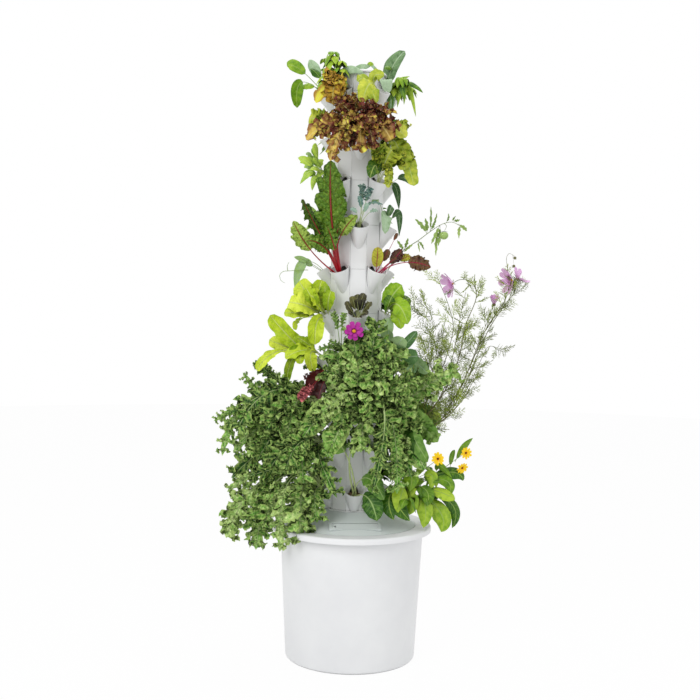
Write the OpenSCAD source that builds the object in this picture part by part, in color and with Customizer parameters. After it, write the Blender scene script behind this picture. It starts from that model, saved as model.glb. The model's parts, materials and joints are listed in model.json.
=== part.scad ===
// Vertical hydroponic planter: a round reservoir bucket under a ten-sided tower of planted cups.
// Millimetres, +Z up. The origin is on the tower axis, at the flat bottom of the bucket.
// The front column of cups faces -Y. Columns are counted by their azimuth from the front.

/* [Reservoir] */
// Outer radius of the bucket at the floor
base_r = 208; // [190:1:225]
// Outer radius of the bucket just under the rim
top_r = 229; // [226:1:240]
// Height from the floor to the top of the rim
reservoir_h = 428; // [340:1:500]
// Thickness of the bucket wall
bucket_wall = 4; // [3:0.5:6]
// Thickness of the bucket floor
floor_t = 5; // [4:0.5:8]
// Radius of the rounded edge at the floor
foot_round = 10; // [6:1:16]

/* [Rim and lid] */
// How far the white rim ring stands out from the top of the bucket
rim_reach = 25; // [19:1:32]
// How far inside the outside of the bucket the lid drops into the rim ring
lid_inset = 25; // [19:1:30]
// Height of the rim ring's outer skirt
rim_h = 18; // [14:1:24]
// Thickness of the rim ring's web and skirts
rim_t = 3; // [2:0.5:4]
// How far the lid rises from its edge to its flat middle
lid_rise = 48; // [30:1:60]
// Radius of the flat middle of the lid
lid_flat_r = 88; // [88:1:96]
// Thickness of the lid
lid_t = 3; // [2:0.5:5]
// Width of the ledge that carries the lid
ledge_w = 8; // [5:1:12]

/* [Access hatch] */
// Distance from the edge of the lid to the middle of the hatch
hatch_inset = 49; // [44:1:52]
// Length of the hatch flap
hatch_l = 141; // [110:1:150]
// Width of the hatch flap
hatch_w = 26; // [22:1:32]
// Thickness of the hatch flap
hatch_t = 2.5; // [2:0.25:3]
// Radius of the hinge pin
pin_r = 1.5; // [1:0.1:1.8]
// Radius of the finger hole
finger_r = 4; // [3:0.5:6]

/* [Cable port] */
// Distance from the edge of the lid to the cable port at the back
port_inset = 54; // [30:1:70]
// Radius of the bore that a pump cable passes through
port_r = 4; // [3:0.5:6]

/* [Tower] */
// Distance from the axis to the outer face of a panel
tower_a = 78; // [76:0.5:82]
// Height of the middle of the lowest cup mouths above the floor
level_z = 548.4; // [545:0.2:560]
// Height from one level of cups to the next
level_h = 138.3; // [130:0.1:146]
// Thickness of a panel
panel_t = 3; // [2.5:0.5:4]
// Room left at each side of a panel
seam_side = 0.15; // [0.1:0.05:0.3]
// Room left between two panels of a column
seam_end = 0.8; // [0.3:0.1:1.2]
// Height of the tower above the mouths of the top level
crown_h = 57; // [50:1:70]
// Height of the overlap tongue at the top of a panel
tongue_h = 12; // [8:1:16]

/* [Cups] */
// Distance from the axis to the middle of a cup mouth
cup_at_r = 102; // [100:0.5:106]
// Outer radius of a cup mouth
cup_r = 31.5; // [28:0.5:33]
// Outward tilt of a cup, in degrees
cup_tilt = 27; // [24:1:30]
// Taper of a cup, in degrees from its own axis
cup_taper = 13; // [11:1:15]
// Wall of a cup
cup_wall = 2; // [1.5:0.25:3]
// Depth of the root plug's top under the mouth
plug_top = 22; // [18:1:26]
// Depth of the root plug's bottom under the mouth
plug_bottom = 58; // [50:1:60]

/* [Water path] */
// Outer radius of the riser pipe
pipe_r = 11; // [9:0.5:13]
// Wall of the riser pipe
pipe_wall = 2; // [1.5:0.25:3]
// Length of the pump housing, across the front
pump_l = 84; // [76:1:100]
// Depth of the pump housing, front to back
pump_d = 60; // [56:1:76]
// Height of the pump housing
pump_h = 62; // [58:1:76]
// Height of a rubber foot under the pump
pump_foot_h = 8; // [5:1:12]
// Radius of the impeller
impeller_r = 19; // [16:0.5:21]
// Length of the impeller along its shaft
impeller_l = 14; // [10:1:16]
// Radius of the impeller shaft
shaft_r = 2; // [1.5:0.25:3]
// Number of impeller blades
blades = 6; // [4:1:8]

/* [Plants] */
// Thickness of a leaf blade
leaf_t = 3; // [2:0.5:4]
// Width of a leaf stalk
stalk_w = 4; // [3:0.5:6]

/* [Hidden] */
$fn = 96;
RINGS = 10;

// Clearances
seat = 0.3;
run = 0.05;

// Colours
WHITE = [0.92, 0.93, 0.93];
LID_GREY = [0.80, 0.83, 0.82];
CUP_GREY = [0.86, 0.86, 0.84];
BLACK = [0.1, 0.1, 0.11];
SOIL = [0.25, 0.19, 0.13];

// Radii and heights that follow from the sizes above
rim_r = top_r + rim_reach;
lid_r = top_r - lid_inset;
hatch_at_r = lid_r - hatch_inset;
port_at_r = lid_r - port_inset;
rim_top = reservoir_h;
web_under = rim_top - rim_t;
bucket_h = web_under - seat;
ledge_drop = 12;
ledge_top = rim_top - ledge_drop;
lid_top = rim_top + lid_rise;
lid_slope = atan(lid_rise / (lid_r - lid_flat_r));
base_t = 4;
panel_z = lid_top + base_t;
tower_top = level_z + level_h * (RINGS - 1) + crown_h;
function cup_z(k) = level_z + level_h * k;

// Column azimuths: even levels face the front, odd levels sit between them
function column(k, i) = (k % 2) * 36 + i * 72;

// Pump heights
pump_z = floor_t + seat + pump_foot_h;
outlet_neck = 14;
outlet_seat = pump_z + pump_h + outlet_neck;
nipple_l = 30;
nipple_play = 0.2;
drip_drop = 14;
drip_z = tower_top - drip_drop;
joint_z = (outlet_seat + drip_z) / 2;

// Bucket
module reservoir_bucket() {
    arc = [for (a = [-90:15:0]) [base_r - foot_round + foot_round * cos(a),
                                 foot_round + foot_round * sin(a)]];
    color(WHITE) rotate_extrude()
        polygon(concat([[0, 0]], arc, [[top_r, bucket_h], [top_r - bucket_wall, bucket_h],
                [base_r - bucket_wall, floor_t + foot_round],
                [base_r - bucket_wall - foot_round * 0.7, floor_t], [0, floor_t]]));
}

// White ring that hooks over the bucket's edge and carries the lid on an inner ledge
module reservoir_rim() {
    crown = 7;
    arc = [for (a = [0:18:90]) [rim_r - crown + crown * cos(a), rim_top - crown + crown * sin(a)]];
    color(WHITE) rotate_extrude()
        polygon(concat([[lid_r + rim_t, rim_top], [lid_r, rim_top - 1], [lid_r, ledge_top],
                [lid_r - ledge_w, ledge_top], [lid_r - ledge_w, ledge_top - rim_t],
                [lid_r + rim_t, ledge_top - rim_t], [lid_r + rim_t, web_under],
                [rim_r - rim_t - 4, web_under], [rim_r - rim_t, web_under - 4],
                [rim_r - rim_t, rim_top - rim_h], [rim_r, rim_top - rim_h]], arc));
}

// Rubber ring between the ledge and the lid
seal_t = 2;
module lid_seal() {
    color(BLACK) translate([0, 0, ledge_top]) difference() {
        cylinder(r = lid_r - seat, h = seal_t);
        translate([0, 0, -1]) cylinder(r = lid_r - ledge_w + 1, h = seal_t + 2);
    }
}

// Places something on the sloping face of the lid, at an azimuth and a distance from the axis
module on_lid(az, r) {
    rotate([0, 0, az])
        translate([0, -r, rim_top + (lid_r - r) * tan(lid_slope)])
            rotate([lid_slope, 0, 0])
                children();
}

// Hatch sizes in its own frame: x along it, y up the slope, z out of the lid
barrel_r = hatch_t / 2 + 1.25;
flap_top = 1;
barrel_z = flap_top - barrel_r;
barrel_y = hatch_w / 2 - barrel_r;
barrel_l = hatch_l - 2;
flap_gap = 0.6;
hinge_x = hatch_l / 2 + flap_gap;
hinge_relief = 0.9;
flap_corner = 8;
frame_x = hatch_l / 2 + 9;
frame_y = hatch_w / 2 + 7;
frame_deep = 13;
pin_l = hatch_l / 2 + 5;
slot_l = hatch_l - 14;
slot_w = hatch_w - 11;

// Cable port sizes in the same kind of frame: a thick boss in the lid and the hole through it
port_hole_r = 7;
boss_top = 1;
boss_under = -lid_t - 0.5;

module flap_outline(grow, z0, h) {
    r = flap_corner + grow;
    x = hatch_l / 2 - flap_corner;
    y = -hatch_w / 2 + flap_corner;
    for (s = [-1, 1])
        translate([s * x, y, z0]) cylinder(r = r, h = h);
    translate([-x, y - r, z0]) cube([2 * x, barrel_y - y + r, h]);
    translate([-x - r, y, z0]) cube([2 * (x + r), barrel_y - y, h]);
}

module reservoir_lid() {
    edge = 3;
    lid_out = lid_r - seat;
    thick = lid_t / cos(lid_slope);
    low = ledge_top + seal_t;
    drain_at = 42;
    drain_r = 9;
    through = 40;
    color(LID_GREY) difference() {
        union() {
            rotate_extrude()
                polygon([[lid_out, low], [lid_out, rim_top], [lid_flat_r, lid_top], [0, lid_top],
                         [0, lid_top - lid_t], [lid_flat_r - 1, lid_top - lid_t],
                         [lid_out - edge, rim_top - thick + 1], [lid_out - edge, low]]);
            on_lid(0, hatch_at_r) translate([-frame_x, -frame_y, flap_top - frame_deep])
                cube([2 * frame_x, 2 * frame_y, frame_deep]);
            on_lid(180, port_at_r) translate([0, 0, boss_under])
                cylinder(r = port_hole_r + 6, h = boss_top - boss_under);
        }
        on_lid(0, hatch_at_r) {
            flap_outline(flap_gap, flap_top - hatch_t - seat, 10);
            translate([-slot_l / 2, -hatch_w / 2 + 4, -through])
                cube([slot_l, slot_w, 2 * through]);
            translate([-hinge_x, barrel_y, barrel_z]) {
                rotate([0, 90, 0]) cylinder(r = barrel_r + seat, h = 2 * hinge_x);
                cube([2 * hinge_x, barrel_r + hinge_relief, 2 * barrel_r]);
            }
            translate([-pin_l - 0.1, barrel_y, barrel_z]) rotate([0, 90, 0])
                cylinder(r = pin_r + run, h = 2 * frame_x);
        }
        on_lid(180, port_at_r) translate([0, 0, -through / 2])
            cylinder(r = port_hole_r, h = through);
        translate([0, 0, lid_top - 10]) cylinder(r = pipe_r + seat, h = 20);
        for (a = [18:36:342])
            rotate([0, 0, a]) translate([drain_at, 0, lid_top - 10]) cylinder(r = drain_r, h = 20);
        for (a = screw_az)
            rotate([0, 0, a]) translate([0, -screw_at, lid_top - 10])
                cylinder(r = screw_r + run, h = 20);
    }
}

module access_hatch() {
    color(LID_GREY) on_lid(0, hatch_at_r) difference() {
        union() {
            flap_outline(0, flap_top - hatch_t, hatch_t);
            translate([-barrel_l / 2, barrel_y, barrel_z]) rotate([0, 90, 0])
                cylinder(r = barrel_r, h = barrel_l);
        }
        translate([-pin_l, barrel_y, barrel_z]) rotate([0, 90, 0])
            cylinder(r = pin_r + run, h = 2 * pin_l);
        translate([-hatch_l / 2 + 9, -hatch_w / 2 + 8, -10]) cylinder(r = finger_r, h = 20);
    }
}

module hatch_pin() {
    color([0.6, 0.6, 0.62]) on_lid(0, hatch_at_r)
        translate([-pin_l, barrel_y, barrel_z]) rotate([0, 90, 0])
            cylinder(r = pin_r, h = 2 * pin_l);
}

module cable_grommet() {
    neck = port_hole_r - run;
    flange = neck + 3;
    flange_t = 2;
    top = boss_top + seat;
    under = boss_under - seat;
    color(BLACK) on_lid(180, port_at_r) difference() {
        union() {
            translate([0, 0, under - flange_t]) cylinder(r = flange, h = flange_t);
            translate([0, 0, under - 1]) cylinder(r = neck, h = top - under + 2);
            translate([0, 0, top]) cylinder(r = flange, h = flange_t);
        }
        translate([0, 0, -20]) cylinder(r = port_r, h = 40);
    }
}

// Ten-sided base that the lowest panels stand on, screwed to the lid
screw_r = 2;
screw_at = 64;
screw_az = [0, 72, 144, 216, 288];
collar_out = tower_a - panel_t - seat;
collar_h = 9;

base_lip = 5;
collar_wall = 3;

module decagon(apothem, h) {
    cylinder(r = apothem / cos(18), h = h, $fn = 10);
}

module tower_base() {
    color(WHITE) translate([0, 0, lid_top]) difference() {
        union() {
            decagon(tower_a + base_lip, base_t);
            decagon(collar_out, base_t + collar_h);
        }
        translate([0, 0, base_t]) cylinder(r = collar_out - collar_wall, h = collar_h + 1);
        translate([0, 0, -1]) cylinder(r = screw_at - 6, h = base_t + 2);
        for (a = screw_az)
            rotate([0, 0, a]) translate([0, -screw_at, -1]) cylinder(r = screw_r + run, h = 10);
    }
}

module base_screws() {
    head_h = 2.4;
    below = 12;
    socket_r = 1.5;
    color("silver") for (a = screw_az)
        rotate([0, 0, a]) translate([0, -screw_at, lid_top]) difference() {
            union() {
                translate([0, 0, -below]) cylinder(r = screw_r, h = base_t + below);
                translate([0, 0, base_t]) cylinder(r = 2 * screw_r, h = head_h);
            }
            translate([0, 0, base_t + 1]) cylinder(r = socket_r, h = head_h, $fn = 6);
        }
}

// One panel of the tower, from height z0 to z1, facing -Y. It is a mitred plate with bevelled
// corners and a tongue that laps behind the panel above.
bevel = 1.2;
tongue_t = 2.6;
module plate(z0, z1, tongue) {
    side = tan(18);
    wo = tower_a * side - seam_side;
    wi = (tower_a - panel_t) * side - seam_side;
    translate([0, 0, z0]) linear_extrude(height = z1 - z0)
        polygon([[-wo + bevel, -tower_a], [wo - bevel, -tower_a], [wo - bevel * side, -tower_a + bevel],
                 [wi, -tower_a + panel_t], [-wi, -tower_a + panel_t],
                 [-wo + bevel * side, -tower_a + bevel]]);
    if (tongue) {
        w = wi - 4;
        root_h = 10;
        back = tower_a - panel_t;
        translate([-w, -back, z1 - root_h]) cube([2 * w, tongue_t, root_h]);
        translate([-w, -back + seat, z1 - root_h])
            cube([2 * w, tongue_t - seat, root_h + tongue_h]);
    }
}

// Cup frame: the origin is the middle of the mouth, and z is the cup's own axis
module cup_frame(z) {
    translate([0, -cup_at_r, z]) rotate([cup_tilt, 0, 0]) children();
}

cup_deep = 84;
function cup_radius(r, depth) = r - depth * tan(cup_taper);

module cup_cone(r, above) {
    translate([0, 0, -cup_deep])
        cylinder(r1 = cup_radius(r, cup_deep), r2 = r + above * tan(cup_taper), h = cup_deep + above);
}

module panel(z0, z1, z, tongue = true) {
    difference() {
        union() {
            plate(z0, z1, tongue);
            intersection() {
                cup_frame(z) cup_cone(cup_r, 0);
                translate([-60, -200, z0]) cube([120, 200 - tower_a + 0.5, z1 - z0]);
            }
        }
        cup_frame(z) cup_cone(cup_r - cup_wall, 5);
    }
}

module panel_ring(k) {
    z = cup_z(k);
    z0 = max(panel_z, z - level_h + seam_end / 2);
    z1 = min(tower_top, z + level_h - seam_end / 2);
    color(CUP_GREY) for (i = [0:4])
        rotate([0, 0, column(k, i)]) panel(z0, z1, z, z1 < tower_top);
}

module lower_filler_panels() {
    color(WHITE) for (i = [0:4])
        rotate([0, 0, column(1, i)]) plate(panel_z, cup_z(0) - seam_end / 2, true);
}

module upper_filler_panels() {
    color(WHITE) for (i = [0:4])
        rotate([0, 0, column(0, i)]) plate(cup_z(RINGS - 1) + seam_end / 2, tower_top, false);
}

module top_cap() {
    edge = tower_a / cos(18) + 4;
    skirt = tower_a - panel_t - 0.8;
    z = tower_top;
    color(WHITE) rotate_extrude()
        polygon([[0, z + 17], [30, z + 16], [60, z + 12.5], [edge - 4, z + 8], [edge - 1, z + 6],
                 [edge, z + 4], [edge, z + run], [skirt, z + run], [skirt, z - 10], [skirt - 3, z - 10],
                 [skirt - 3, z + 3], [0, z + 3]]);
}

module drip_head() {
    disc_r = 68;
    disc_t = 3;
    edge_h = 7;
    edge_t = 2.5;
    hole_at = 50;
    hole_r = 2.2;
    socket_h = 22;
    socket_wall = 3;
    color(CUP_GREY) difference() {
        union() {
            translate([0, 0, drip_z]) cylinder(r = disc_r, h = disc_t);
            translate([0, 0, drip_z - socket_h])
                cylinder(r = pipe_r + socket_wall, h = socket_h + 1);
            translate([0, 0, drip_z + disc_t - 1]) difference() {
                cylinder(r = disc_r, h = edge_h);
                translate([0, 0, -1]) cylinder(r = disc_r - edge_t, h = edge_h + 2);
            }
        }
        translate([0, 0, drip_z - socket_h - 1]) cylinder(r = pipe_r + run, h = socket_h + 1);
        translate([0, 0, drip_z - 2]) cylinder(r = pipe_r - pipe_wall, h = 8);
        for (a = [0:30:330])
            rotate([0, 0, a]) translate([hole_at, 0, drip_z - 1]) cylinder(r = hole_r, h = 6);
    }
}

module pipe(z0, z1) {
    color(WHITE) translate([0, 0, z0]) difference() {
        cylinder(r = pipe_r, h = z1 - z0);
        translate([0, 0, -1]) cylinder(r = pipe_r - pipe_wall, h = z1 - z0 + 2);
    }
}
module riser_pipe_lower() { pipe(outlet_seat, joint_z); }
module riser_pipe_upper() { pipe(joint_z, drip_z); }

module pipe_coupling() {
    half = 22;
    wall = 3;
    color(CUP_GREY) translate([0, 0, joint_z - half]) difference() {
        cylinder(r = pipe_r + wall, h = 2 * half);
        translate([0, 0, -1]) cylinder(r = pipe_r + run, h = 2 * half + 2);
    }
}

// Pump: the impeller turns on a shaft that points to the front
chamber_r = impeller_r + 2.5;
chamber_deep = impeller_l + 8;
shaft_z = pump_z + pump_h / 2;
pump_front = -pump_d / 2;

module along_shaft(y) { translate([0, y, shaft_z]) rotate([-90, 0, 0]) children(); }

// A duct leads up from the chamber and back to the outlet's spigot
duct_r = 6;
duct_y = pump_front + chamber_deep / 2;
duct_top = pump_z + pump_h - 3;
spigot_r = pipe_r + 4;

module pump_body() {
    r = 8;
    color(BLACK) difference() {
        union() {
            for (sx = [-1, 1], sy = [-1, 1])
                translate([sx * (pump_l / 2 - r), sy * (pump_d / 2 - r), pump_z])
                    cylinder(r = r, h = pump_h);
            translate([-pump_l / 2 + r, -pump_d / 2, pump_z]) cube([pump_l - 2 * r, pump_d, pump_h]);
            translate([-pump_l / 2, -pump_d / 2 + r, pump_z]) cube([pump_l, pump_d - 2 * r, pump_h]);
        }
        along_shaft(pump_front - 1) cylinder(r = chamber_r, h = chamber_deep + 1);
        along_shaft(pump_front) cylinder(r = shaft_r + run, h = chamber_deep + 10);
        translate([0, duct_y, shaft_z]) cylinder(r = duct_r, h = duct_top - shaft_z);
        translate([-duct_r, duct_y, duct_top - 5]) cube([2 * duct_r, -duct_y, 5]);
        translate([0, 0, duct_top - 5]) cylinder(r = spigot_r + run, h = 20);
    }
}

module pump_screen() {
    t = 3;
    slots = 7;
    pitch = 5.4;
    slot_l = 32;
    slot_h = 2.8;
    inset = [6, 4];
    color([0.16, 0.17, 0.18]) difference() {
        translate([-pump_l / 2 + inset[0], pump_front - seat - t, pump_z + inset[1]])
            cube([pump_l - 2 * inset[0], t, pump_h - 2 * inset[1]]);
        for (i = [0:slots - 1])
            translate([-slot_l / 2, pump_front - 20, shaft_z + (i - (slots - 1) / 2) * pitch - slot_h / 2])
                cube([slot_l, 40, slot_h]);
    }
}

module pump_impeller() {
    hub_r = shaft_r + 3.5;
    plate_t = 2;
    start = pump_front + 4;
    color([0.75, 0.76, 0.78]) difference() {
        union() {
            along_shaft(start) cylinder(r = hub_r, h = impeller_l);
            along_shaft(start + impeller_l - plate_t) cylinder(r = impeller_r, h = plate_t);
            for (i = [0:blades - 1])
                along_shaft(start) rotate([0, 0, i * 360 / blades])
                    translate([hub_r - 1, -plate_t / 2, 0])
                        cube([impeller_r - hub_r, plate_t, impeller_l]);
        }
        along_shaft(pump_front) cylinder(r = shaft_r + run, h = impeller_l + 12);
    }
}

module impeller_shaft() {
    color("silver") along_shaft(pump_front + 1) cylinder(r = shaft_r, h = chamber_deep + 8);
}

module pump_outlet() {
    top = pump_z + pump_h;
    spigot = 7.5;
    flange = 3;
    nipple_wall = 2.5;
    color([0.16, 0.17, 0.18]) difference() {
        union() {
            translate([0, 0, top - spigot]) cylinder(r = spigot_r, h = outlet_seat - top + spigot);
            translate([0, 0, top]) cylinder(r = spigot_r + flange, h = flange);
            translate([0, 0, outlet_seat - 1])
                cylinder(r = pipe_r - pipe_wall - nipple_play, h = nipple_l + 1);
        }
        translate([0, 0, top - 10]) cylinder(r = pipe_r - pipe_wall - nipple_wall, h = 80);
    }
}

module pump_feet() {
    inset = 14;
    cup = 11;
    neck = 6;
    color(BLACK) for (sx = [-1, 1], sy = [-1, 1])
        translate([sx * (pump_l / 2 - inset), sy * (pump_d / 2 - inset), floor_t]) {
            cylinder(r1 = cup, r2 = neck, h = pump_foot_h);
            cylinder(r = neck, h = pump_foot_h + seat);
        }
}

// Root plugs: a frustum that wedges in the lower half of each cup
module plug() {
    r = cup_r - cup_wall - seat;
    translate([0, 0, -plug_bottom])
        cylinder(r1 = cup_radius(r, plug_bottom), r2 = cup_radius(r, plug_top),
                 h = plug_bottom - plug_top);
}

SEEDLING = [4, 0];
module root_plugs() {
    color(SOIL) for (k = [0:RINGS - 1], i = [0:4])
        if (!(k == SEEDLING[0] && i == SEEDLING[1]))
            rotate([0, 0, column(k, i)]) cup_frame(cup_z(k)) plug();
}
module seedling_plug() {
    color(SOIL) rotate([0, 0, column(SEEDLING[0], SEEDLING[1])]) cup_frame(cup_z(SEEDLING[0])) plug();
}

// Plants. A leaf is three hulled segments along a curve that leaves the cup, bends over at
// `mid` and ends at `tip`. Points are [sideways, distance from the axis, height above the mouth].
ROOT = [0, cup_at_r, 0] - (plug_top - 6) * [0, sin(cup_tilt), cos(cup_tilt)];
function to_front(p) = [p[0], -p[1], p[2]];
function bend(a, b, c, t) = (1 - t) * (1 - t) * a + 2 * t * (1 - t) * b + t * t * c;
function bend_way(a, b, c, t) = let(v = (1 - t) * (b - a) + t * (c - b)) v / norm(v);
function unit(v) = v / norm(v);
function rib(a, b, c, t, w, th) =
    let(p = bend(a, b, c, t), way = bend_way(a, b, c, t), up = unit(cross([1, 0, 0], way)),
        side = unit(cross(way, up)))
    [p + side * w / 2, p + up * th / 2, p - side * w / 2, p - up * th / 2];

module segment(r0, r1) {
    hull() polyhedron(points = concat(r0, r1),
        faces = [[3, 2, 1, 0], [4, 5, 6, 7], [0, 1, 5, 4], [1, 2, 6, 5], [2, 3, 7, 6], [3, 0, 4, 7]]);
}

module leaf(mid, tip, w, root = ROOT, neck = 0.35, widest = 0.66, end = 0.3) {
    a = to_front(root);
    b = to_front(mid);
    c = to_front(tip);
    r0 = rib(a, b, c, 0, stalk_w, leaf_t);
    r1 = rib(a, b, c, neck, stalk_w, leaf_t);
    r2 = rib(a, b, c, widest, w, leaf_t);
    r3 = rib(a, b, c, 1, w * end, leaf_t / 2);
    segment(r0, r1);
    segment(r1, r2);
    segment(r2, r3);
}

// A row of leaves spread from -side to +side, their tips at one distance and two heights.
// The stalks stand side by side on the foot, and each leaf leans a little off the row.
// A fan that bends over at mid_r stands a little behind one that doesn't.
module fan(n, side, r, z, w, step = 20, mid_r = 0, mid_z = 0) {
    back = mid_r > 0 ? [0.9, -2.3, 1.1] : [0, 0, 0];
    for (i = [0:n - 1]) {
        u = n == 1 ? 0 : 2 * i / (n - 1) - 1;
        odd = i % 2;
        tip_r = r * (1 - 0.07 * abs(u) - 0.02 * i) - odd * 0.08 * r;
        m_r = mid_r > 0 ? mid_r : cup_at_r + 0.35 * (tip_r - cup_at_r);
        leaf([u * side * 0.35, m_r, max(20, z * 0.6) + mid_z + odd * step * 0.5 + 3 * u],
             [u * side, tip_r, z + odd * step + 4 * u], w, ROOT + back + [4.5 * u, 2 * odd, 0]);
    }
}

// The stem's foot, which stands on the root plug
module foot(x, r) {
    translate([x, 0, 0]) cup_frame(0) translate([0, 0, -plug_top]) hull() {
        cylinder(r = r, h = 1, $fn = 8);
        translate([0, 0, 11]) cylinder(r = r * 0.7, h = 1, $fn = 8);
    }
}

module plant(k, az, x = 0, foot_r = 7) {
    rotate([0, 0, az]) translate([0, 0, cup_z(k)]) {
        foot(x, foot_r);
        children();
    }
}

GREEN = [0.30, 0.50, 0.16];
LIME = [0.60, 0.75, 0.22];
KALE = [0.28, 0.47, 0.20];
BLUE_GREEN = [0.40, 0.55, 0.42];
RED_BROWN = [0.42, 0.18, 0.12];
CRIMSON = [0.60, 0.06, 0.16];

module kale_left() {
    color(KALE) {
        plant(2, -72) {
            fan(3, 48, 304, 18, 83, 51);
            fan(2, 43, 330, -63, 82, 18, 214, 90);
        }
        plant(1, -36) {
            fan(3, 44, 250, 0, 70, 40);
            fan(3, 61, 306, -254, 69, 40, 262, 50);
        }
        plant(1, -108) {
            fan(3, 97, 500, 44, 94, 56);
            fan(3, 87, 478, -81, 88, 43, 328, 52);
        }
        plant(0, -72) {
            fan(3, 70, 390, -20, 86, 50);
            fan(3, 80, 425, -175, 78, 40, 360, 40);
            translate([3, -4, 0]) fan(2, 52, 352, 84, 88, 26);
        }
    }
}

module kale_centre() {
    color(KALE) plant(2, 0) {
        fan(4, 50, 251, 74, 62, 63);
        fan(4, 55, 266, -42, 63, 41, 203, 60);
    }
}

module kale_right() {
    color(KALE) plant(1, 36) {
        fan(4, 46, 296, 66, 70, 50);
        fan(3, 50, 270, -60, 66, 30, 215, 60);
    }
}

module red_lettuce() {
    color(RED_BROWN) plant(8, 0) {
        fan(4, 90, 170, 40, 66, 40);
        fan(4, 110, 185, -40, 66, 25, 150, 50);
    }
}

module gold_lettuce() {
    color([0.75, 0.66, 0.20]) plant(9, -36) {
        fan(3, 24, 140, 50, 44, 35);
        fan(3, 26, 160, -15, 42, 15, 140, 45);
    }
}

module green_lettuce() {
    color(LIME) {
        plant(9, 36) fan(4, 26, 140, 30, 40, 45);
        plant(8, -72) fan(4, 28, 150, 20, 46, 45);
        plant(8, 72) fan(4, 30, 160, 0, 46, 40, 140, 30);
        plant(7, 36) {
            fan(3, 28, 160, 45, 48, 30);
            fan(2, 24, 175, -20, 44, 15, 150, 40);
        }
    }
}

module lime_lettuce() {
    color(LIME) {
        plant(4, -72) {
            fan(3, 24, 170, 95, 56, 25, 125, 30);
            fan(2, 26, 215, 40, 64, 20, 170, 50);
        }
        plant(3, -108) {
            fan(3, 60, 300, 80, 70, 40, 200, 30);
            fan(2, 46, 330, 0, 70, 20, 240, 50);
        }
    }
}

module burgundy_lettuce() {
    color([0.30, 0.08, 0.14]) plant(3, -36) {
        fan(3, 24, 160, 20, 46, 30);
        fan(2, 20, 175, -35, 42, 10, 150, 30);
    }
}

module chard() {
    color([0.42, 0.12, 0.10]) {
        plant(5, -36) {
            leaf([4, 112, 110], [6, 132, 190], 62);
            leaf([-8, 125, 90], [-34, 190, 120], 50, ROOT - [4, 0, 0]);
            leaf([10, 118, 60], [30, 135, 105], 36, ROOT + [4, 0, 0]);
            leaf([-16, 125, 50], [-42, 170, 60], 34, ROOT + [-3, 3, 0]);
            leaf([4, 125, 50], [8, 165, 80], 30, ROOT + [1, 4, 0]);
        }
        plant(7, -36) fan(3, 22, 140, 60, 38, 30);
    }
}

module beet() {
    color(CRIMSON) plant(5, 36) {
        leaf([4, 150, 50], [10, 225, 40], 40);
        leaf([22, 145, 45], [52, 215, 30], 38, ROOT + [4, 1, 0]);
        leaf([-8, 118, 50], [-14, 138, 80], 40, ROOT - [3, 1, 0]);
        leaf([16, 125, 60], [34, 165, 75], 34, ROOT + [3, -3, 0]);
        leaf([-16, 135, 40], [-34, 180, 40], 32, ROOT + [-3, 3, 0]);
    }
}

module top_basil() {
    color(GREEN) {
        plant(9, -108) {
            fan(4, 28, 154, 102, 45, 36, 111, 10);
            fan(3, 42, 215, 58, 50, 23, 147, 40);
        }
        plant(9, 108) {
            fan(4, 24, 140, 95, 46, 45, 112, 10);
            fan(3, 30, 190, -20, 46, 40, 150, 60);
        }
    }
}

module low_basil() {
    color(GREEN) plant(0, 72) {
        fan(4, 50, 300, -40, 64, 60, 190, 60);
        fan(3, 50, 330, -100, 60, 30, 270, 40);
        leaf([-20, 150, 60], [-34, 190, 50], 52, ROOT + [-3, 4, 0]);
    }
}

module flower_head(p, r) {
    translate(to_front(p)) rotate([70, 0, 0]) hull() {
        cylinder(r = r, h = 3, $fn = 8);
        translate([0, 0, 8]) cylinder(r = r * 0.3, h = 1, $fn = 8);
    }
}

// Shares its cup with the low basil: its stems stand beside the basil's foot and rise over it
module calendula() {
    heads = [[14, 280, 92], [24, 372, 108], [48, 358, 58]];
    beside = 15;
    color([0.90, 0.65, 0.05]) plant(0, 72, beside, 4) for (i = [0:2]) {
        p = heads[i];
        leaf([beside + p[0] * 0.3, 140 + 20 * i, 150 + 8 * i], p + [0, 3, -2], 9,
             ROOT + [beside + i - 1, i - 1, 0], end = 0.6);
        flower_head(p, 22);
    }
}

module collard() {
    color([0.24, 0.42, 0.14]) {
        plant(0, 0) {
            leaf([8, 130, 30], [26, 168, -20], 40);
            leaf([-8, 122, 60], [-16, 140, 90], 36, ROOT - [4, 0, 0]);
            leaf([12, 118, 60], [22, 140, 100], 36, ROOT + [4, -2, 0]);
        }
        plant(2, 72) {
            fan(4, 48, 279, 17, 77, 53);
            fan(2, 35, 304, -79, 74, 30, 233, 60);
        }
    }
}

module cosmos() {
    heads = [[10, 325, 505], [30, 525, 500], [-20, 575, 530], [50, 480, 440]];
    color([0.45, 0.55, 0.30]) plant(1, 108) {
        for (i = [0:3]) {
            p = heads[i];
            leaf([p[0] * 0.4, p[1] * 0.55 + 80, -70 + 30 * i], p + [1, 5, -1], 26,
                 ROOT + [2.3 * i - 3, 1.2 * i, -i], 0.3, 0.7, 0.4);
            color([0.85, 0.55, 0.80]) flower_head(p, 26);
        }
        fan(4, 90, 460, 330, 60, 60, 360, -270);
    }
}

module tomato_vine() {
    color(GREEN) plant(5, 108) {
        leaf([10, 200, 60], [20, 300, 150], 26);
        leaf([20, 240, 80], [30, 385, 120], 30, ROOT + [3, 1, 0]);
        leaf([-10, 180, 50], [-30, 270, 70], 40, ROOT + [-3, 1, 0]);
        leaf([0, 130, 50], [10, 170, 70], 40, ROOT + [1, -3, 0]);
        translate(to_front([24, 318, 96])) sphere(r = 15, $fn = 10);
    }
}

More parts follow.
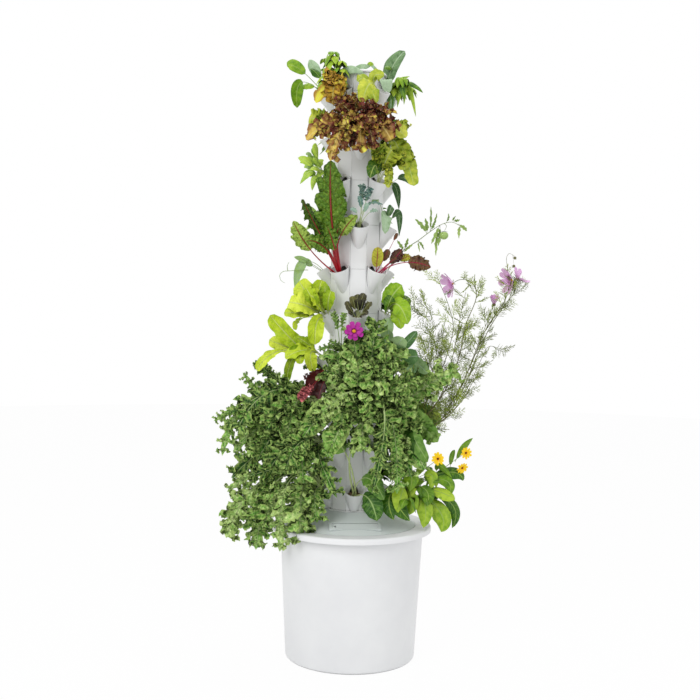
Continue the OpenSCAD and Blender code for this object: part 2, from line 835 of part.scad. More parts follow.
module bok_choy() {
    color([0.30, 0.52, 0.16]) plant(4, 72) {
        leaf([10, 117, 50], [18, 149, 97], 54);
        leaf([-10, 120, 46], [-21, 166, 78], 50, ROOT + [-4, 1.3, 0]);
        leaf([1, 150, 38], [2, 205, 57], 56, ROOT + [0.4, 4.2, -1]);
        leaf([22, 139, 28], [37, 181, 38], 44, ROOT + [4.2, 2.3, 0]);
    }
}

module cabbage_seedlings() {
    color(BLUE_GREEN) plant(3, 36) {
        fan(4, 30, 165, 60, 44, 40);
        fan(2, 30, 210, 10, 50, 30, 170, 40);
    }
    color(BLUE_GREEN) plant(3, 108) fan(4, 34, 190, 70, 50, 40);
}

module dark_rosette() {
    color([0.20, 0.24, 0.12]) plant(4, 0) {
        leaf([-8, 110, 30], [-20, 128, 44], 20, ROOT + [-3, 0, 0]);
        leaf([8, 110, 40], [16, 122, 66], 26, ROOT + [3, -1, 0]);
        leaf([0, 122, 24], [0, 142, 24], 26, ROOT + [0, 3, 0]);
        leaf([14, 116, 22], [26, 134, 24], 20, ROOT + [4, 1, 0]);
    }
}

module sage() {
    color(BLUE_GREEN) {
        plant(6, 72) {
            fan(3, 26, 160, 21, 33, 44);
            fan(2, 19, 178, -26, 36, 0, 146, 40);
        }
        plant(7, 108) fan(4, 28, 150, 40, 36, 40);
    }
}

module young_kale() {
    color(BLUE_GREEN) plant(6, 0) {
        leaf([10, 110, 80], [18, 118, 125], 40);
        leaf([-16, 120, 30], [-30, 140, 34], 40, ROOT + [-4, 1, 0]);
        leaf([0, 116, 30], [2, 140, 40], 30, ROOT + [0, 4, 0]);
    }
}

module pea_shoots() {
    color([0.42, 0.58, 0.30]) {
        plant(5, -108) {
            leaf([-10, 140, 60], [-20, 210, 40], 40, ROOT + [-4, 0, 0]);
            leaf([10, 140, 40], [24, 200, 0], 40, ROOT + [4, 1, 0]);
            leaf([0, 160, 60], [0, 265, -10], 16, ROOT + [0, 4, 0]);
        }
        plant(6, -72) fan(3, 24, 150, 20, 34, 30);
        plant(7, -108) {
            leaf([-10, 130, 60], [-21, 190, 82], 36, ROOT + [-4, 0.3, 0]);
            leaf([11, 130, 47], [25, 170, 37], 34, ROOT + [4, 1.4, 0]);
            leaf([1, 141, 38], [3, 199, 8], 34, ROOT + [0.6, 4.2, -1]);
        }
    }
}

// Shares its cup with the burgundy lettuce and leans over to the front
module pink_zinnia() {
    head = [100, 137, 82];
    beside = 15;
    color([0.80, 0.15, 0.55]) plant(3, -36, beside, 4) {
        leaf([55, 128, 92], head + [0, 3, -3], 7, ROOT + [beside, 0, 0], end = 0.6);
        translate(to_front(head)) rotate([60, 0, 36]) hull() {
            cylinder(r = 30, h = 3, $fn = 8);
            translate([0, 0, 9]) cylinder(r = 10, h = 1, $fn = 8);
        }
    }
}

// The side that the front view hides
module back_herbs() {
    color(GREEN) {
        plant(9, 180) fan(3, 28, 150, 70, 46, 40, 115, 10);
        for (az = [144, 216])
            plant(8, az) fan(3, 30, 165, 40, 48, 40);
        plant(7, 180) fan(3, 30, 170, 20, 48, 40, 140, 20);
        for (az = [144, 216])
            plant(6, az) fan(3, 30, 170, 30, 50, 40);
    }
}

module back_greens() {
    color(KALE) {
        plant(5, 180) fan(3, 32, 190, 40, 52, 40);
        for (az = [144, 216])
            plant(4, az) fan(3, 38, 210, 30, 60, 50);
        for (k = [1, 3])
            plant(k, 180) fan(3, 42, 230, 10, 66, 50);
        for (az = [144, 216])
            plant(2, az) fan(4, 50, 260, 20, 66, 50);
        for (az = [144, 216])
            plant(0, az) fan(4, 56, 290, -20, 72, 50, 190, 50);
    }
}

reservoir_bucket();
reservoir_rim();
lid_seal();
reservoir_lid();
access_hatch();
hatch_pin();
cable_grommet();
tower_base();
base_screws();
lower_filler_panels();
upper_filler_panels();
panel_ring(0);  // panel_ring_01
panel_ring(1);  // panel_ring_02
panel_ring(2);  // panel_ring_03
panel_ring(3);  // panel_ring_04
panel_ring(4);  // panel_ring_05
panel_ring(5);  // panel_ring_06
panel_ring(6);  // panel_ring_07
panel_ring(7);  // panel_ring_08
panel_ring(8);  // panel_ring_09
panel_ring(9);  // panel_ring_10
top_cap();
drip_head();
riser_pipe_lower();
riser_pipe_upper();
pipe_coupling();
pump_body();
pump_screen();
pump_impeller();
impeller_shaft();
pump_outlet();
pump_feet();
root_plugs();
seedling_plug();
kale_left();
kale_centre();
kale_right();
red_lettuce();
gold_lettuce();
green_lettuce();
lime_lettuce();
burgundy_lettuce();
chard();
beet();
top_basil();
low_basil();
calendula();
collard();
cosmos();
tomato_vine();
bok_choy();
cabbage_seedlings();
dark_rosette();
sage();
young_kale();
pea_shoots();
pink_zinnia();
back_herbs();
back_greens();
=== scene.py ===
# %% [markdown]
# # A planted tower on its reservoir bucket
#
# The bucket, rim, lid, hatch, base ring, panels with their cups, cap and pump are solids of a construction
# model, and they come in as a fixed frame. This notebook gives them their plastics and grows the plants.
# Everything is in metres, with +Z up and the tower's axis through the origin.

# %% Load the frame
import json
import math
import random

import bpy
import numpy as np
from mathutils import Matrix, Vector


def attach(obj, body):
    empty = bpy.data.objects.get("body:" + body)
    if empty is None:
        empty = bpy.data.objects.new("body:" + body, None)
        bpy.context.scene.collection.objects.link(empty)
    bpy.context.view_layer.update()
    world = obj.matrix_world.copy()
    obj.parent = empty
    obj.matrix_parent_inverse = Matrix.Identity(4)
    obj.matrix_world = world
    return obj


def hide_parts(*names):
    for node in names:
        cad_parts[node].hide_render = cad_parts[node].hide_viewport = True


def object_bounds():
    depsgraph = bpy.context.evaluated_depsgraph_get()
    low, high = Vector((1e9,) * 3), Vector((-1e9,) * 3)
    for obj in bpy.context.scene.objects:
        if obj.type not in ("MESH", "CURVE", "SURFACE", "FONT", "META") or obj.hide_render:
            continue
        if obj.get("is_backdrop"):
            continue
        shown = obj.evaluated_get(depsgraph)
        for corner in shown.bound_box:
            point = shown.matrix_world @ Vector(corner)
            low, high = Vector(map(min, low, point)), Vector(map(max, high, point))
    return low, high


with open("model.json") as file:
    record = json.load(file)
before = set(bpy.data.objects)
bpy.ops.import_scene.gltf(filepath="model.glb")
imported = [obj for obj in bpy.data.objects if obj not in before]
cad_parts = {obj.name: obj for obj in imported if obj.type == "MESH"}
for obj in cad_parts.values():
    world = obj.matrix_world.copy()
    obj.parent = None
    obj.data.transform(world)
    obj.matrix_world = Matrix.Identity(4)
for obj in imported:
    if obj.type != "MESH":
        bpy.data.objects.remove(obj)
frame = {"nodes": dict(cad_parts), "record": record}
cad_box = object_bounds()
nodes = frame["nodes"]

# %% [markdown]
# ## Camera
# The picture was taken level with the middle of the tower, from about 3.4 m, with the front column of cups
# turned a few degrees to the right. The camera could be aimed by eye, but it was fitted to the cup mouths
# and the rim, so its place and its small tilt are plain numbers here. With the camera known, a place can be
# picked in the picture: a pixel gives the ray, and how near the place is gives the point on that ray.

# %% Camera
TURN = math.radians(-3.8)   # the front column sits this far round from the middle of the view
PITCH, ROLL, YAW = math.radians(2.153), math.radians(1.035), math.radians(-0.265)
CAMERA_AT = 0, 3418.6, 1112.4
FOCAL, MIDDLE = 1068.3, 350   # in pixels of the picture, which is 700 wide and high


def turned(v):
    return Matrix.Rotation(TURN, 3, "Z") @ Vector(v)


def seen(right, near, up):
    """A point as the picture shows it, in millimetres: to the right of the axis, nearer than it, and up."""
    return np.array(turned((right, -near, up))) / 1000


def picked(across, down, near):
    """The place at a pixel, this much nearer than the axis, as `seen` takes it, in whole millimetres."""
    x, y = across - MIDDLE, MIDDLE - down
    u = (x * math.cos(ROLL) - y * math.sin(ROLL)) / FOCAL
    v = (x * math.sin(ROLL) + y * math.cos(ROLL)) / FOCAL
    along, rise = math.cos(PITCH) + v * math.sin(PITCH), v * math.cos(PITCH) - math.sin(PITCH)
    far = (CAMERA_AT[1] - near) / (along * math.cos(YAW) - u * math.sin(YAW))
    return round(far * (u * math.cos(YAW) + along * math.sin(YAW))), near, round(CAMERA_AT[2] + far * rise)


def placed(name, data):
    made = bpy.data.objects.new(name, data)
    bpy.context.scene.collection.objects.link(made)
    return made


ahead = Vector((math.sin(YAW) * math.cos(PITCH), math.cos(YAW) * math.cos(PITCH), -math.sin(PITCH)))
flat_right = Vector((math.cos(YAW), -math.sin(YAW), 0))
flat_up = flat_right.cross(ahead)
right = flat_right * math.cos(ROLL) + flat_up * math.sin(ROLL)
up = flat_up * math.cos(ROLL) - flat_right * math.sin(ROLL)
camera = placed("camera", bpy.data.cameras.new("camera"))
axes = Matrix([turned(right), turned(up), -turned(ahead)]).transposed()
camera.matrix_world = Matrix.Translation(seen(*CAMERA_AT)) @ axes.to_4x4()
camera.data.lens, camera.data.sensor_width, camera.data.clip_end = 54.94, 36, 50
bpy.context.scene.camera = camera
print("camera at", [round(c, 3) for c in camera.location], "lens", camera.data.lens)

# %% [markdown]
# ## Finishes in short calls
# A finish is a small network of nodes, and written out in full it is mostly wiring. So a recipe makes a node
# in one call and fills its sockets: a value that is another node's socket gets linked, and any other is set.
# Colours are given as a painter reads them off a chart, from 0 to 255, and turned into light.

# %% Recipes
def linear(colour, share=1.0):
    return tuple(share * (((c / 255 + 0.055) / 1.055) ** 2.4 if c > 10 else c / 255 / 12.92) for c in colour)


class Recipe:
    def __init__(self, owner):
        owner.use_nodes = True
        owner.node_tree.nodes.clear()
        self.owner, self.nodes, self.links = owner, owner.node_tree.nodes, owner.node_tree.links

    def fill(self, socket, value):
        if isinstance(value, bpy.types.NodeSocket):
            self.links.new(value, socket)
        else:
            socket.default_value = (*value, 1) if socket.type == "RGBA" else value

    def __call__(self, kind, *given, **named):
        """Makes a node. Plain values fill its sockets in order, and named ones a socket or a setting."""
        made = self.nodes.new("ShaderNode" + kind)
        for socket, value in zip(made.inputs, given):
            self.fill(socket, value)
        for key, value in named.items():
            if key.replace("_", " ") in made.inputs:
                self.fill(made.inputs[key.replace("_", " ")], value)
            else:
                setattr(made, key, value)
        return made

    def math(self, kind, a, b=0.5, clamp=False):
        return self("Math", a, b, operation=kind, use_clamp=clamp).outputs[0]

    def mix(self, factor, a, b):
        made = self("Mix", factor, data_type="RGBA")
        self.fill(made.inputs[6], a)
        self.fill(made.inputs[7], b)
        return made.outputs[2]

    def ramp(self, value, *pairs):
        """A colour ramp from (place, colour) pairs."""
        made = self("ValToRGB", value)
        elements = made.color_ramp.elements
        while len(elements) < len(pairs):
            elements.new(0.5)
        for element, (place, colour) in zip(elements, pairs):
            element.position, element.color = place, (*linear(colour), 1)
        return made.outputs["Color"]

    def falling(self, value, low, high):
        """1 below low, 0 above high, smooth between."""
        return self("MapRange", value, low, high, 1, 0, interpolation_type="SMOOTHSTEP").outputs["Result"]

    def metres(self):
        return self("TexCoord").outputs["Object"]

    def noise(self, scale, detail, **more):
        return self("TexNoise", self.metres(), Scale=scale, Detail=detail, **more).outputs["Fac"]

    def on_leaf(self):
        """How far across and along its leaf a point lies, and 1 on the underside."""
        return self("SeparateXYZ", self("Attribute", attribute_name="place").outputs["Vector"]).outputs

    def skin(self, colour, rough, specular, height, strength, depth, metallic=0.0, under=None):
        """Completes a finish: its colour and gloss, with the surface raised by a height."""
        bump = self("Bump", Strength=strength, Distance=depth, Height=height)
        if under is not None:
            self.fill(bump.inputs["Normal"], under)
        skin = self("BsdfPrincipled", Base_Color=colour, Metallic=metallic, Roughness=rough,
                    Specular_IOR_Level=specular, Normal=bump.outputs["Normal"])
        self("OutputMaterial", skin.outputs[0])
        return self.owner


def finish_of(name):
    return Recipe(bpy.data.materials.new(name))


print("recipes ready")

# %% [markdown]
# ## Studio
# The object stands in an even white studio. White paper could be lit until it burns out, but that would wash
# out the white plastic too. So the world and the floor simply show white to the camera and to gloss, and
# light the object at a plain level. The floor still lets a little of the object's soft shadow through.

# %% White world and floor
WHITE = 1, 1, 1


def show_white(make, plain, white, share=1.0):
    """Mixes a plain shader with white for the rays that look straight at it, or through gloss and glass."""
    path = make("LightPath").outputs
    most = make.math("MAXIMUM", path["Is Camera Ray"], path["Is Glossy Ray"])
    most = make.math("MAXIMUM", most, path["Is Transmission Ray"])
    shown = make.math("MULTIPLY", most, share)
    return make("MixShader", shown, plain.outputs[0], white.outputs[0]).outputs[0]


world = bpy.data.worlds.new("white studio")
bpy.context.scene.world = world
make = Recipe(world)
make("OutputWorld", show_white(make, make("Background", WHITE, 0.7), make("Background", WHITE)))

make = finish_of("white paper")
make("OutputMaterial", show_white(make, make("BsdfDiffuse", (0.86, 0.86, 0.86)), make("Emission"), 0.965))
floor_mesh = bpy.data.meshes.new("floor")
ring = [(9 * math.cos(a), 9 * math.sin(a), -0.0005) for a in np.linspace(0, 2 * math.pi, 49)[:-1]]
floor_mesh.from_pydata(ring, [], [list(range(48))])
floor_mesh.materials.append(make.owner)
placed("floor", floor_mesh)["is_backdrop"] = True
bpy.context.scene.view_settings.view_transform = "Standard"
print("floor of", len(ring), "sides")

# %% Lamps
AIM = Vector((0, 0, 1.0))
for name, place, size, power in (("key", (-2.0, -2.8, 2.9), (1.8, 2.4), 56),
                                 ("fill", (2.6, -2.2, 1.5), (1.8, 2.4), 13),
                                 ("top", (0.3, 0.9, 3.6), (2.0, 2.0), 26)):
    data = bpy.data.lights.new(name, "AREA")
    data.shape, data.size, data.size_y, data.energy = "RECTANGLE", *size, power
    lamp = placed(name, data)
    lamp.location = place
    lamp.rotation_euler = (AIM - lamp.location).to_track_quat("-Z", "Y").to_euler()
print("three soft lamps")

# %% [markdown]
# ## Plastics
# The hardware is injection-moulded plastic: matt to satin, a little cloudy in its white, with a fine grain
# that only shows where light grazes it. A single colour would look like paper, so a slow noise moves the
# tone and the gloss, and a fine one raises the surface by hundredths of a millimetre. Painted shade darkens
# the colour where the surface is hemmed in within a few millimetres, in the joints between the mouldings.
# All of it is placed by the object's own metres, so it has the same size on every piece.

# %% Moulded and metal finishes
def plastic(name, pale, deep, gloss, grain=0.00004, grain_size=900.0, specular=0.4, metallic=0.0, cloud=5.0):
    make = finish_of(name)
    slow, fine = make.noise(cloud, 4.0, Roughness=0.6), make.noise(grain_size, 2.0)
    # Painted shade: ambient occlusion within 8 mm darkens the colour towards a dim deep tone in joints and
    # recesses.
    hollow = make("AmbientOcclusion", samples=8, Distance=0.008).outputs["AO"]
    unshaded_share = make("MapRange", hollow, 0.3, 0.75).outputs["Result"]
    colour = make.mix(unshaded_share, linear(deep, 0.42), make.ramp(slow, (0.3, deep), (0.7, pale)))
    rough = make("MapRange", slow, To_Min=gloss - 0.06, To_Max=gloss + 0.08).outputs["Result"]
    return make.skin(colour, rough, specular, fine, 0.6, grain, metallic)


FINISHES = {
    "white_plastic": plastic("white bucket plastic", (236, 237, 238), (228, 229, 231), 0.38),
    "lid_plastic": plastic("grey green lid plastic", (216, 223, 221), (207, 215, 213), 0.46),
    "panel_plastic": plastic("panel plastic", (234, 235, 235), (225, 226, 226), 0.42),
    "black_plastic": plastic("black pump plastic", (38, 39, 42), (28, 29, 31), 0.45),
    "clear_white": plastic("milky pipe plastic", (226, 230, 230), (212, 217, 218), 0.3),
    "rubber": plastic("black rubber", (34, 34, 35), (24, 24, 25), 0.75, 0.00012, 500.0, 0.25),
    "steel": plastic("brushed steel", (178, 180, 184), (150, 152, 157), 0.28, 0.00003, 1400.0, 0.5, 1.0)}
print(len(FINISHES), "moulded and metal finishes")

# %% [markdown]
# ## Root plugs
# Each cup holds a block of brown peat and fibre. Its face is open and crumbly, which a stretched noise for
# the fibres over a coarse one for the crumbs gives without modelling a single fibre.

# %% Fibre
make = finish_of("peat and fibre")
stretch = make("Mapping", make.metres(), Scale=(300, 300, 60)).outputs["Vector"]
threads = make("TexNoise", stretch, Scale=2.0, Detail=5.0, Distortion=1.5).outputs["Fac"]
crumbs = make("TexVoronoi", make.metres(), Scale=240.0).outputs["Distance"]
tone = make.ramp(threads, (0.3, (84, 68, 50)), (0.55, (122, 102, 78)), (0.75, (156, 136, 108)))
crumbly = make("Bump", Strength=0.9, Distance=0.0012, Height=crumbs).outputs["Normal"]
FINISHES["plug_fibre"] = make.skin(tone, 0.95, 0.15, threads, 0.8, 0.0008, under=crumbly)
print("plug fibre in", len(make.nodes), "nodes")

# %% Dress the frame
dressed = [entry for entry in frame["record"]["subparts"] if entry["material_slot"] in FINISHES]
for entry in dressed:
    materials = nodes[entry["node"]].data.materials
    materials.clear()
    materials.append(FINISHES[entry["material_slot"]])
print(len(dressed), "solids dressed")

# %% [markdown]
# ## How a leaf is made
# A leaf could be a picture on a flat card, but it has to hold up from every side. So each one is lofted:
# rings of points are set along a curve, and neighbouring rings are joined. For a blade the ring is a very
# flat lens, whose edge waves and lifts; for a stalk it is a small circle that runs on into the blade as its
# midrib. Every point also keeps where it lies on the leaf, across and along, so that the veins can be drawn
# by a material.

# %% Lofted meshes
UP = np.array([0, 0, 1.0])


def unit(v):
    return v / np.maximum(np.linalg.norm(v, axis=-1, keepdims=True), 1e-9)


class Growth:
    """Collects the rings of one piece and turns them into a mesh."""

    def __init__(self):
        self.points, self.quads, self.triangles, self.place, self.tone = [], [], [], [], []
        self.count = 0

    def loft(self, first, rings, last, place, tone):
        n, k, _ = rings.shape
        base, tip = self.count, self.count + 1 + n * k
        self.points += [first[None], rings.reshape(-1, 3), last[None]]
        self.place += [np.array([[0, 0, 0.5]]), place.reshape(-1, 3), np.array([[0, 1, 0.5]])]
        self.tone.append(np.full(n * k + 2, tone))
        grid = base + 1 + np.arange(n * k).reshape(n, k)
        turn = np.roll(grid, -1, axis=1)
        self.quads.append(np.stack([grid[:-1], turn[:-1], turn[1:], grid[1:]], -1).reshape(-1, 4))
        self.triangles.append(np.stack([np.full(k, base), turn[0], grid[0]], -1))
        self.triangles.append(np.stack([np.full(k, tip), grid[-1], turn[-1]], -1))
        self.count += n * k + 2

    def mesh(self, name, material, node, slot, body="tower", crease=70):
        quads, triangles = np.concatenate(self.quads), np.concatenate(self.triangles)
        made = bpy.data.meshes.new(name)
        made.from_pydata(np.concatenate(self.points).tolist(), [], quads.tolist() + triangles.tolist())
        for key, kind, field, values in (("place", "FLOAT_VECTOR", "vector", self.place),
                                         ("tone", "FLOAT", "value", self.tone)):
            values = np.concatenate(values).astype(np.float32).ravel()
            made.attributes.new(key, kind, "POINT").data.foreach_set(field, values)
        made.shade_smooth()
        made.set_sharp_from_angle(angle=math.radians(crease))
        made.materials.append(material)
        piece = placed(name, made)
        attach(piece, body)
        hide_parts(node)
        print(name, 2 * len(quads) + len(triangles), "triangles")


print("rings can become meshes")

# %% Curves, facing and tubes
def spine(root, mid, tip, t):
    """The smooth curve from root through mid to tip, and its direction, at each t."""
    t = np.asarray(t, float)[:, None]
    pull = 2 * mid - (root + tip) / 2
    at = (1 - t) ** 2 * root + 2 * t * (1 - t) * pull + t ** 2 * tip
    return at, unit(2 * (1 - t) * (pull - root) + 2 * t * (tip - pull))


def facing(direction, root, tip, face, roll):
    """Side and upper directions along a leaf. With no face to turn to, it arches in its own upright plane."""
    if face is None:
        out = tip - root + 0.35 * np.linalg.norm(tip - root) * unit(np.array([root[0], root[1], 0.0]))
        side = unit(np.array([out[1], -out[0], 0.0])) + np.zeros_like(direction)
        side = unit(side - direction * (side * direction).sum(-1, keepdims=True))
    else:
        side = unit(np.cross(direction, np.asarray(face, float)))
    upper = unit(np.cross(side, direction))
    c, s = math.cos(math.radians(roll)), math.sin(math.radians(roll))
    return side * c + upper * s, upper * c - side * s


def tube(growth, at, radius, side, upper, corners, tone):
    angle = np.linspace(0, 2 * math.pi, corners, endpoint=False)
    ring = side[:, None] * np.cos(angle)[:, None] + upper[:, None] * np.sin(angle)[:, None]
    rings = at[:, None] + ring * np.asarray(radius)[:, None, None]
    place = np.zeros(rings.shape)
    place[..., 0] = np.cos(angle)
    place[..., 1] = np.linspace(0, 1, len(at))[:, None]
    growth.loft(at[0], rings, at[-1], place, tone)


def turned_form(growth, at, high, radius, corners):
    """A round form about an upright axis, like a berry."""
    axes = [np.tile(axis, (len(high), 1)) for axis in ([1.0, 0, 0], [0, 1.0, 0])]
    tube(growth, at + UP * high[:, None] / 1000, radius / 1000, *axes, corners, 0.5)


def stray(dice, *spans):
    """A step off course: for each direction a reach both ways, or a pair of limits."""
    return np.array([dice.uniform(*(span if isinstance(span, tuple) else (-span, span))) for span in spans])


print("curves and tubes ready")

# %% [markdown]
# ### Leaf forms
# What tells kale from basil is the outline, how far the edge ruffles and how often, and whether the blade is
# cupped. In a form, a and b bend the outline (the widest place lies at a / (a + b)), waves and ruffle lift
# the edge, lobes and lobe cut it, cup raises both sides, and thick is in millimetres. Frilly leaves are more
# than a ruffled blade: along a narrower blade stand rows of lobes, and every lobe carries small curls of its
# own.

# %% Leaf forms
PARTS = "a    b   rows cols ruffle waves lobes lobe  cup thick".split()
FORMS = {line.split()[0]: dict(zip(PARTS, (int(v) if v.isdigit() else float(v) for v in line.split()[1:])))
         for line in """\
kale    0.6  0.5  16 2 0.14 4.5 7 0.4  -0.1  0.9
lobe    0.6  0.4   6 2 0.22 1.6 3 0.4   0.2  0.8
curl    0.6  0.3   4 2 0.3  1.3 0 0.0   0.5  0.8
broad   0.55 0.5  26 5 0.06 2.6 5 0.05 -0.15 0.9
lettuce 0.8  0.36 36 5 0.17 5.0 7 0.1   0.1  0.6
heart   0.8  0.42 26 5 0.09 2.8 3 0.05  0.2  0.7
chard   0.6  0.72 40 6 0.11 4.6 5 0.14 -0.05 0.8
basil   0.62 0.8  14 3 0.02 2.0 0 0.0  -0.3  0.6
round   0.5  0.45 14 4 0.02 1.5 0 0.0   0.15 0.8
lance   0.8  0.95 14 3 0.01 1.0 0 0.0   0.2  0.5
sprig   0.55 0.5  16 3 0.16 3.5 4 0.3   0.0  0.6
tooth   0.5  0.75 16 3 0.04 2.0 3 0.45  0.1  0.5
petal   0.9  0.3  12 4 0.03 1.5 0 0.0   0.12 0.4""".splitlines()}
WITHOUT_RIB = "lobe", "curl"
# Frilly leaves: the form of their blade, how wide it is, pairs of lobes, curls on each lobe and a curl's size
FRILLY = {"kale": ("kale", 0.5, 7, 4, 0.15), "savoy": ("broad", 0.85, 7, 2, 0.13),
          "frill": ("lettuce", 0.62, 5, 2, 0.3), "crisp": ("lettuce", 0.8, 5, 2, 0.22)}
print(len(FORMS), "leaf forms,", len(FRILLY), "of frilly leaves made from them")

# %% A single blade
def outline(s, a, b):
    top = a / (a + b)
    return (s / top) ** a * ((1 - s) / (1 - top)) ** b


def blade(growth, root, mid, tip, width, form, start, face, roll, tone, dice):
    f = FORMS[form]
    s = np.linspace(0, 1, f["rows"] + 2)
    at, direction = spine(root, mid, tip, start + (1 - start) * s)
    side, upper = facing(direction, root, tip, face, roll)
    half = width / 2 * outline(np.clip(s, 1e-4, 1 - 1e-4), f["a"], f["b"])
    u = np.linspace(-1, 1, 2 * f["cols"] + 1)
    u = np.sign(u) * np.abs(u) ** 0.85
    lift, push = np.zeros((len(s), len(u))), np.zeros((len(s), len(u)))
    edge = np.ones_like(lift)
    for k, share in ((1.0, 1.0), (1.63, 0.55), (2.71, 0.32)):
        for sign in (-1, 1):
            angle = 2 * math.pi * f["waves"] * k * s + dice.uniform(0, 6.28)
            wave = np.sin(angle)[:, None] * (np.sign(u) == sign)
            lift += share * wave * np.abs(u) ** 1.8
            push += share * np.roll(wave, 1, axis=0) * np.abs(u) ** 2.2
    if f["lobes"]:
        for sign in (-1, 1):
            turn, angle = dice.uniform(0, 6.28), 2 * math.pi * f["lobes"]
            cut = np.sin(angle * s + turn) + 0.5 * np.sin(angle * 2.3 * s + turn)
            edge -= f["lobe"] * (0.5 + 0.5 * cut)[:, None] * (np.sign(u) == sign) * np.abs(u) ** 1.5
    body = np.sin(math.pi * np.clip(s, 0, 1))[:, None] ** 0.4
    high = width * (f["ruffle"] * lift * body) + half[:, None] * f["cup"] * u ** 2
    across = half[:, None] * u * edge
    middle = (at[:, None] + side[:, None] * across[..., None] + upper[:, None] * high[..., None]
              + direction[:, None] * (width * f["ruffle"] * 0.6 * push * body)[..., None])
    pointed = np.minimum(1, 8 * half[:, None] / width + 0.1)
    fat = np.sqrt(np.clip(1 - u ** 2, 0, 1)) * f["thick"] / 2000 * pointed
    raised = upper[:, None] * fat[..., None]
    rings = np.concatenate([middle + raised, (middle - raised)[:, -2:0:-1]], 1)
    place = np.zeros(rings.shape)
    place[..., 0] = np.concatenate([u, u[-2:0:-1]])
    if form in WITHOUT_RIB:
        place[..., 0] = 0.3 + 0.7 * np.abs(place[..., 0])
    place[..., 1] = s[:, None]
    place[:, len(u):, 2] = 1.0
    growth.loft(at[0], rings[1:-1], at[-1], place[1:-1], tone)


print("blade ready")

# %% Frills, and a whole leaf
def frills(growth, root, mid, tip, width, form, start, face, roll, tone, dice):
    core, share, pairs, curls, fine = FRILLY[form]
    blade(growth, root, mid, tip, width * share, core, start, face, roll, tone - 0.1, dice)

    def some(k):
        return stray(dice, k, k, k)

    for i in range(2 * pairs):
        sign = 1 if i % 2 else -1
        s = (i // 2 + 0.35 + 0.3 * dice.random()) / pairs * 0.97
        at, direction = spine(root, mid, tip, [start + (1 - start) * s])
        side, upper = facing(direction, root, tip, face, roll)
        at, direction, side, upper = at[0], direction[0], side[0], upper[0]
        reach = width * (0.12 + 0.3 * outline(max(s, 0.02), 0.55, 0.5)) * dice.uniform(0.8, 1.2)
        way = unit(sign * side + dice.uniform(0.35, 0.95) * direction + upper * dice.uniform(-0.3, 0.3))
        own = tone + dice.uniform(-0.2, 0.2)
        blade(growth, at, at + way * reach * 0.5 + upper * reach * dice.uniform(0.0, 0.3), at + way * reach,
              reach * 0.62, "lobe", 0.0, upper + some(0.4), dice.uniform(-40, 40), own - 0.15, dice)
        for k in range(curls):
            size = width * fine * dice.uniform(0.75, 1.3)
            foot = at + way * reach * (0.35 + 0.55 * k / curls) + side * sign * (k % 2) * size * 0.2
            turn = unit(way * 0.7 + some(0.9) + upper * 0.25)
            blade(growth, foot, foot + turn * size * 0.5 + some(0.2) * size, foot + turn * size, size * 1.15,
                  "curl", 0.0, upper + some(0.9), 0, own + dice.uniform(-0.35, 0.45), dice)


def leaf(blades, stalks, root, mid, tip, width, form, tone, start, face, roll, stalk, dice):
    make = frills if form in FRILLY else blade
    make(blades, root, mid, tip, width / 1000, form, start, face, roll, tone, dice)
    t = np.linspace(0, start + (1 - start) * 0.9, 13)
    at, direction = spine(root, mid, tip, t)
    side, upper = facing(direction, root, tip, face, roll)
    radius = stalk / 1000 * np.where(t < start, 1 - 0.35 * t / max(start, 0.01),
                                     0.65 * (1 - (t - start) / (1.02 - start)) ** 0.8)
    radius = np.maximum(radius, 0.00022)
    radius[0] *= 0.8
    tube(stalks, at + upper * (radius * 0.25)[:, None], radius, side, upper, 6, tone)


print("leaf ready")

# %% [markdown]
# ### Where a plant is rooted
# The cups stand in five columns, and every other level is turned by 36 degrees. A plant starts on the plug,
# a little down inside its cup. From there its leaves go to places picked in the picture, so the leaf
# tables list the middle and the tip of each leaf as `picked` takes them.

# %% Cups
LEVEL_Z, LEVEL_H, CUP_AT, CUP_TILT, ROOT_DEEP = 548.4, 138.3, 102.0, math.radians(27), 24.0


def cup(level, around, beside=0.0):
    """The place of a root in a cup, in metres. `around` is degrees from the front."""
    a = math.radians(around)
    out = np.array([math.sin(a), -math.cos(a), 0])
    across = np.array([math.cos(a), math.sin(a), 0])
    middle = out * CUP_AT + UP * (LEVEL_Z + LEVEL_H * level)
    sunk = ROOT_DEEP * (out * math.sin(CUP_TILT) + UP * math.cos(CUP_TILT))
    return (middle - sunk + across * beside) / 1000


print("lowest front root at", cup(0, 0).round(3))
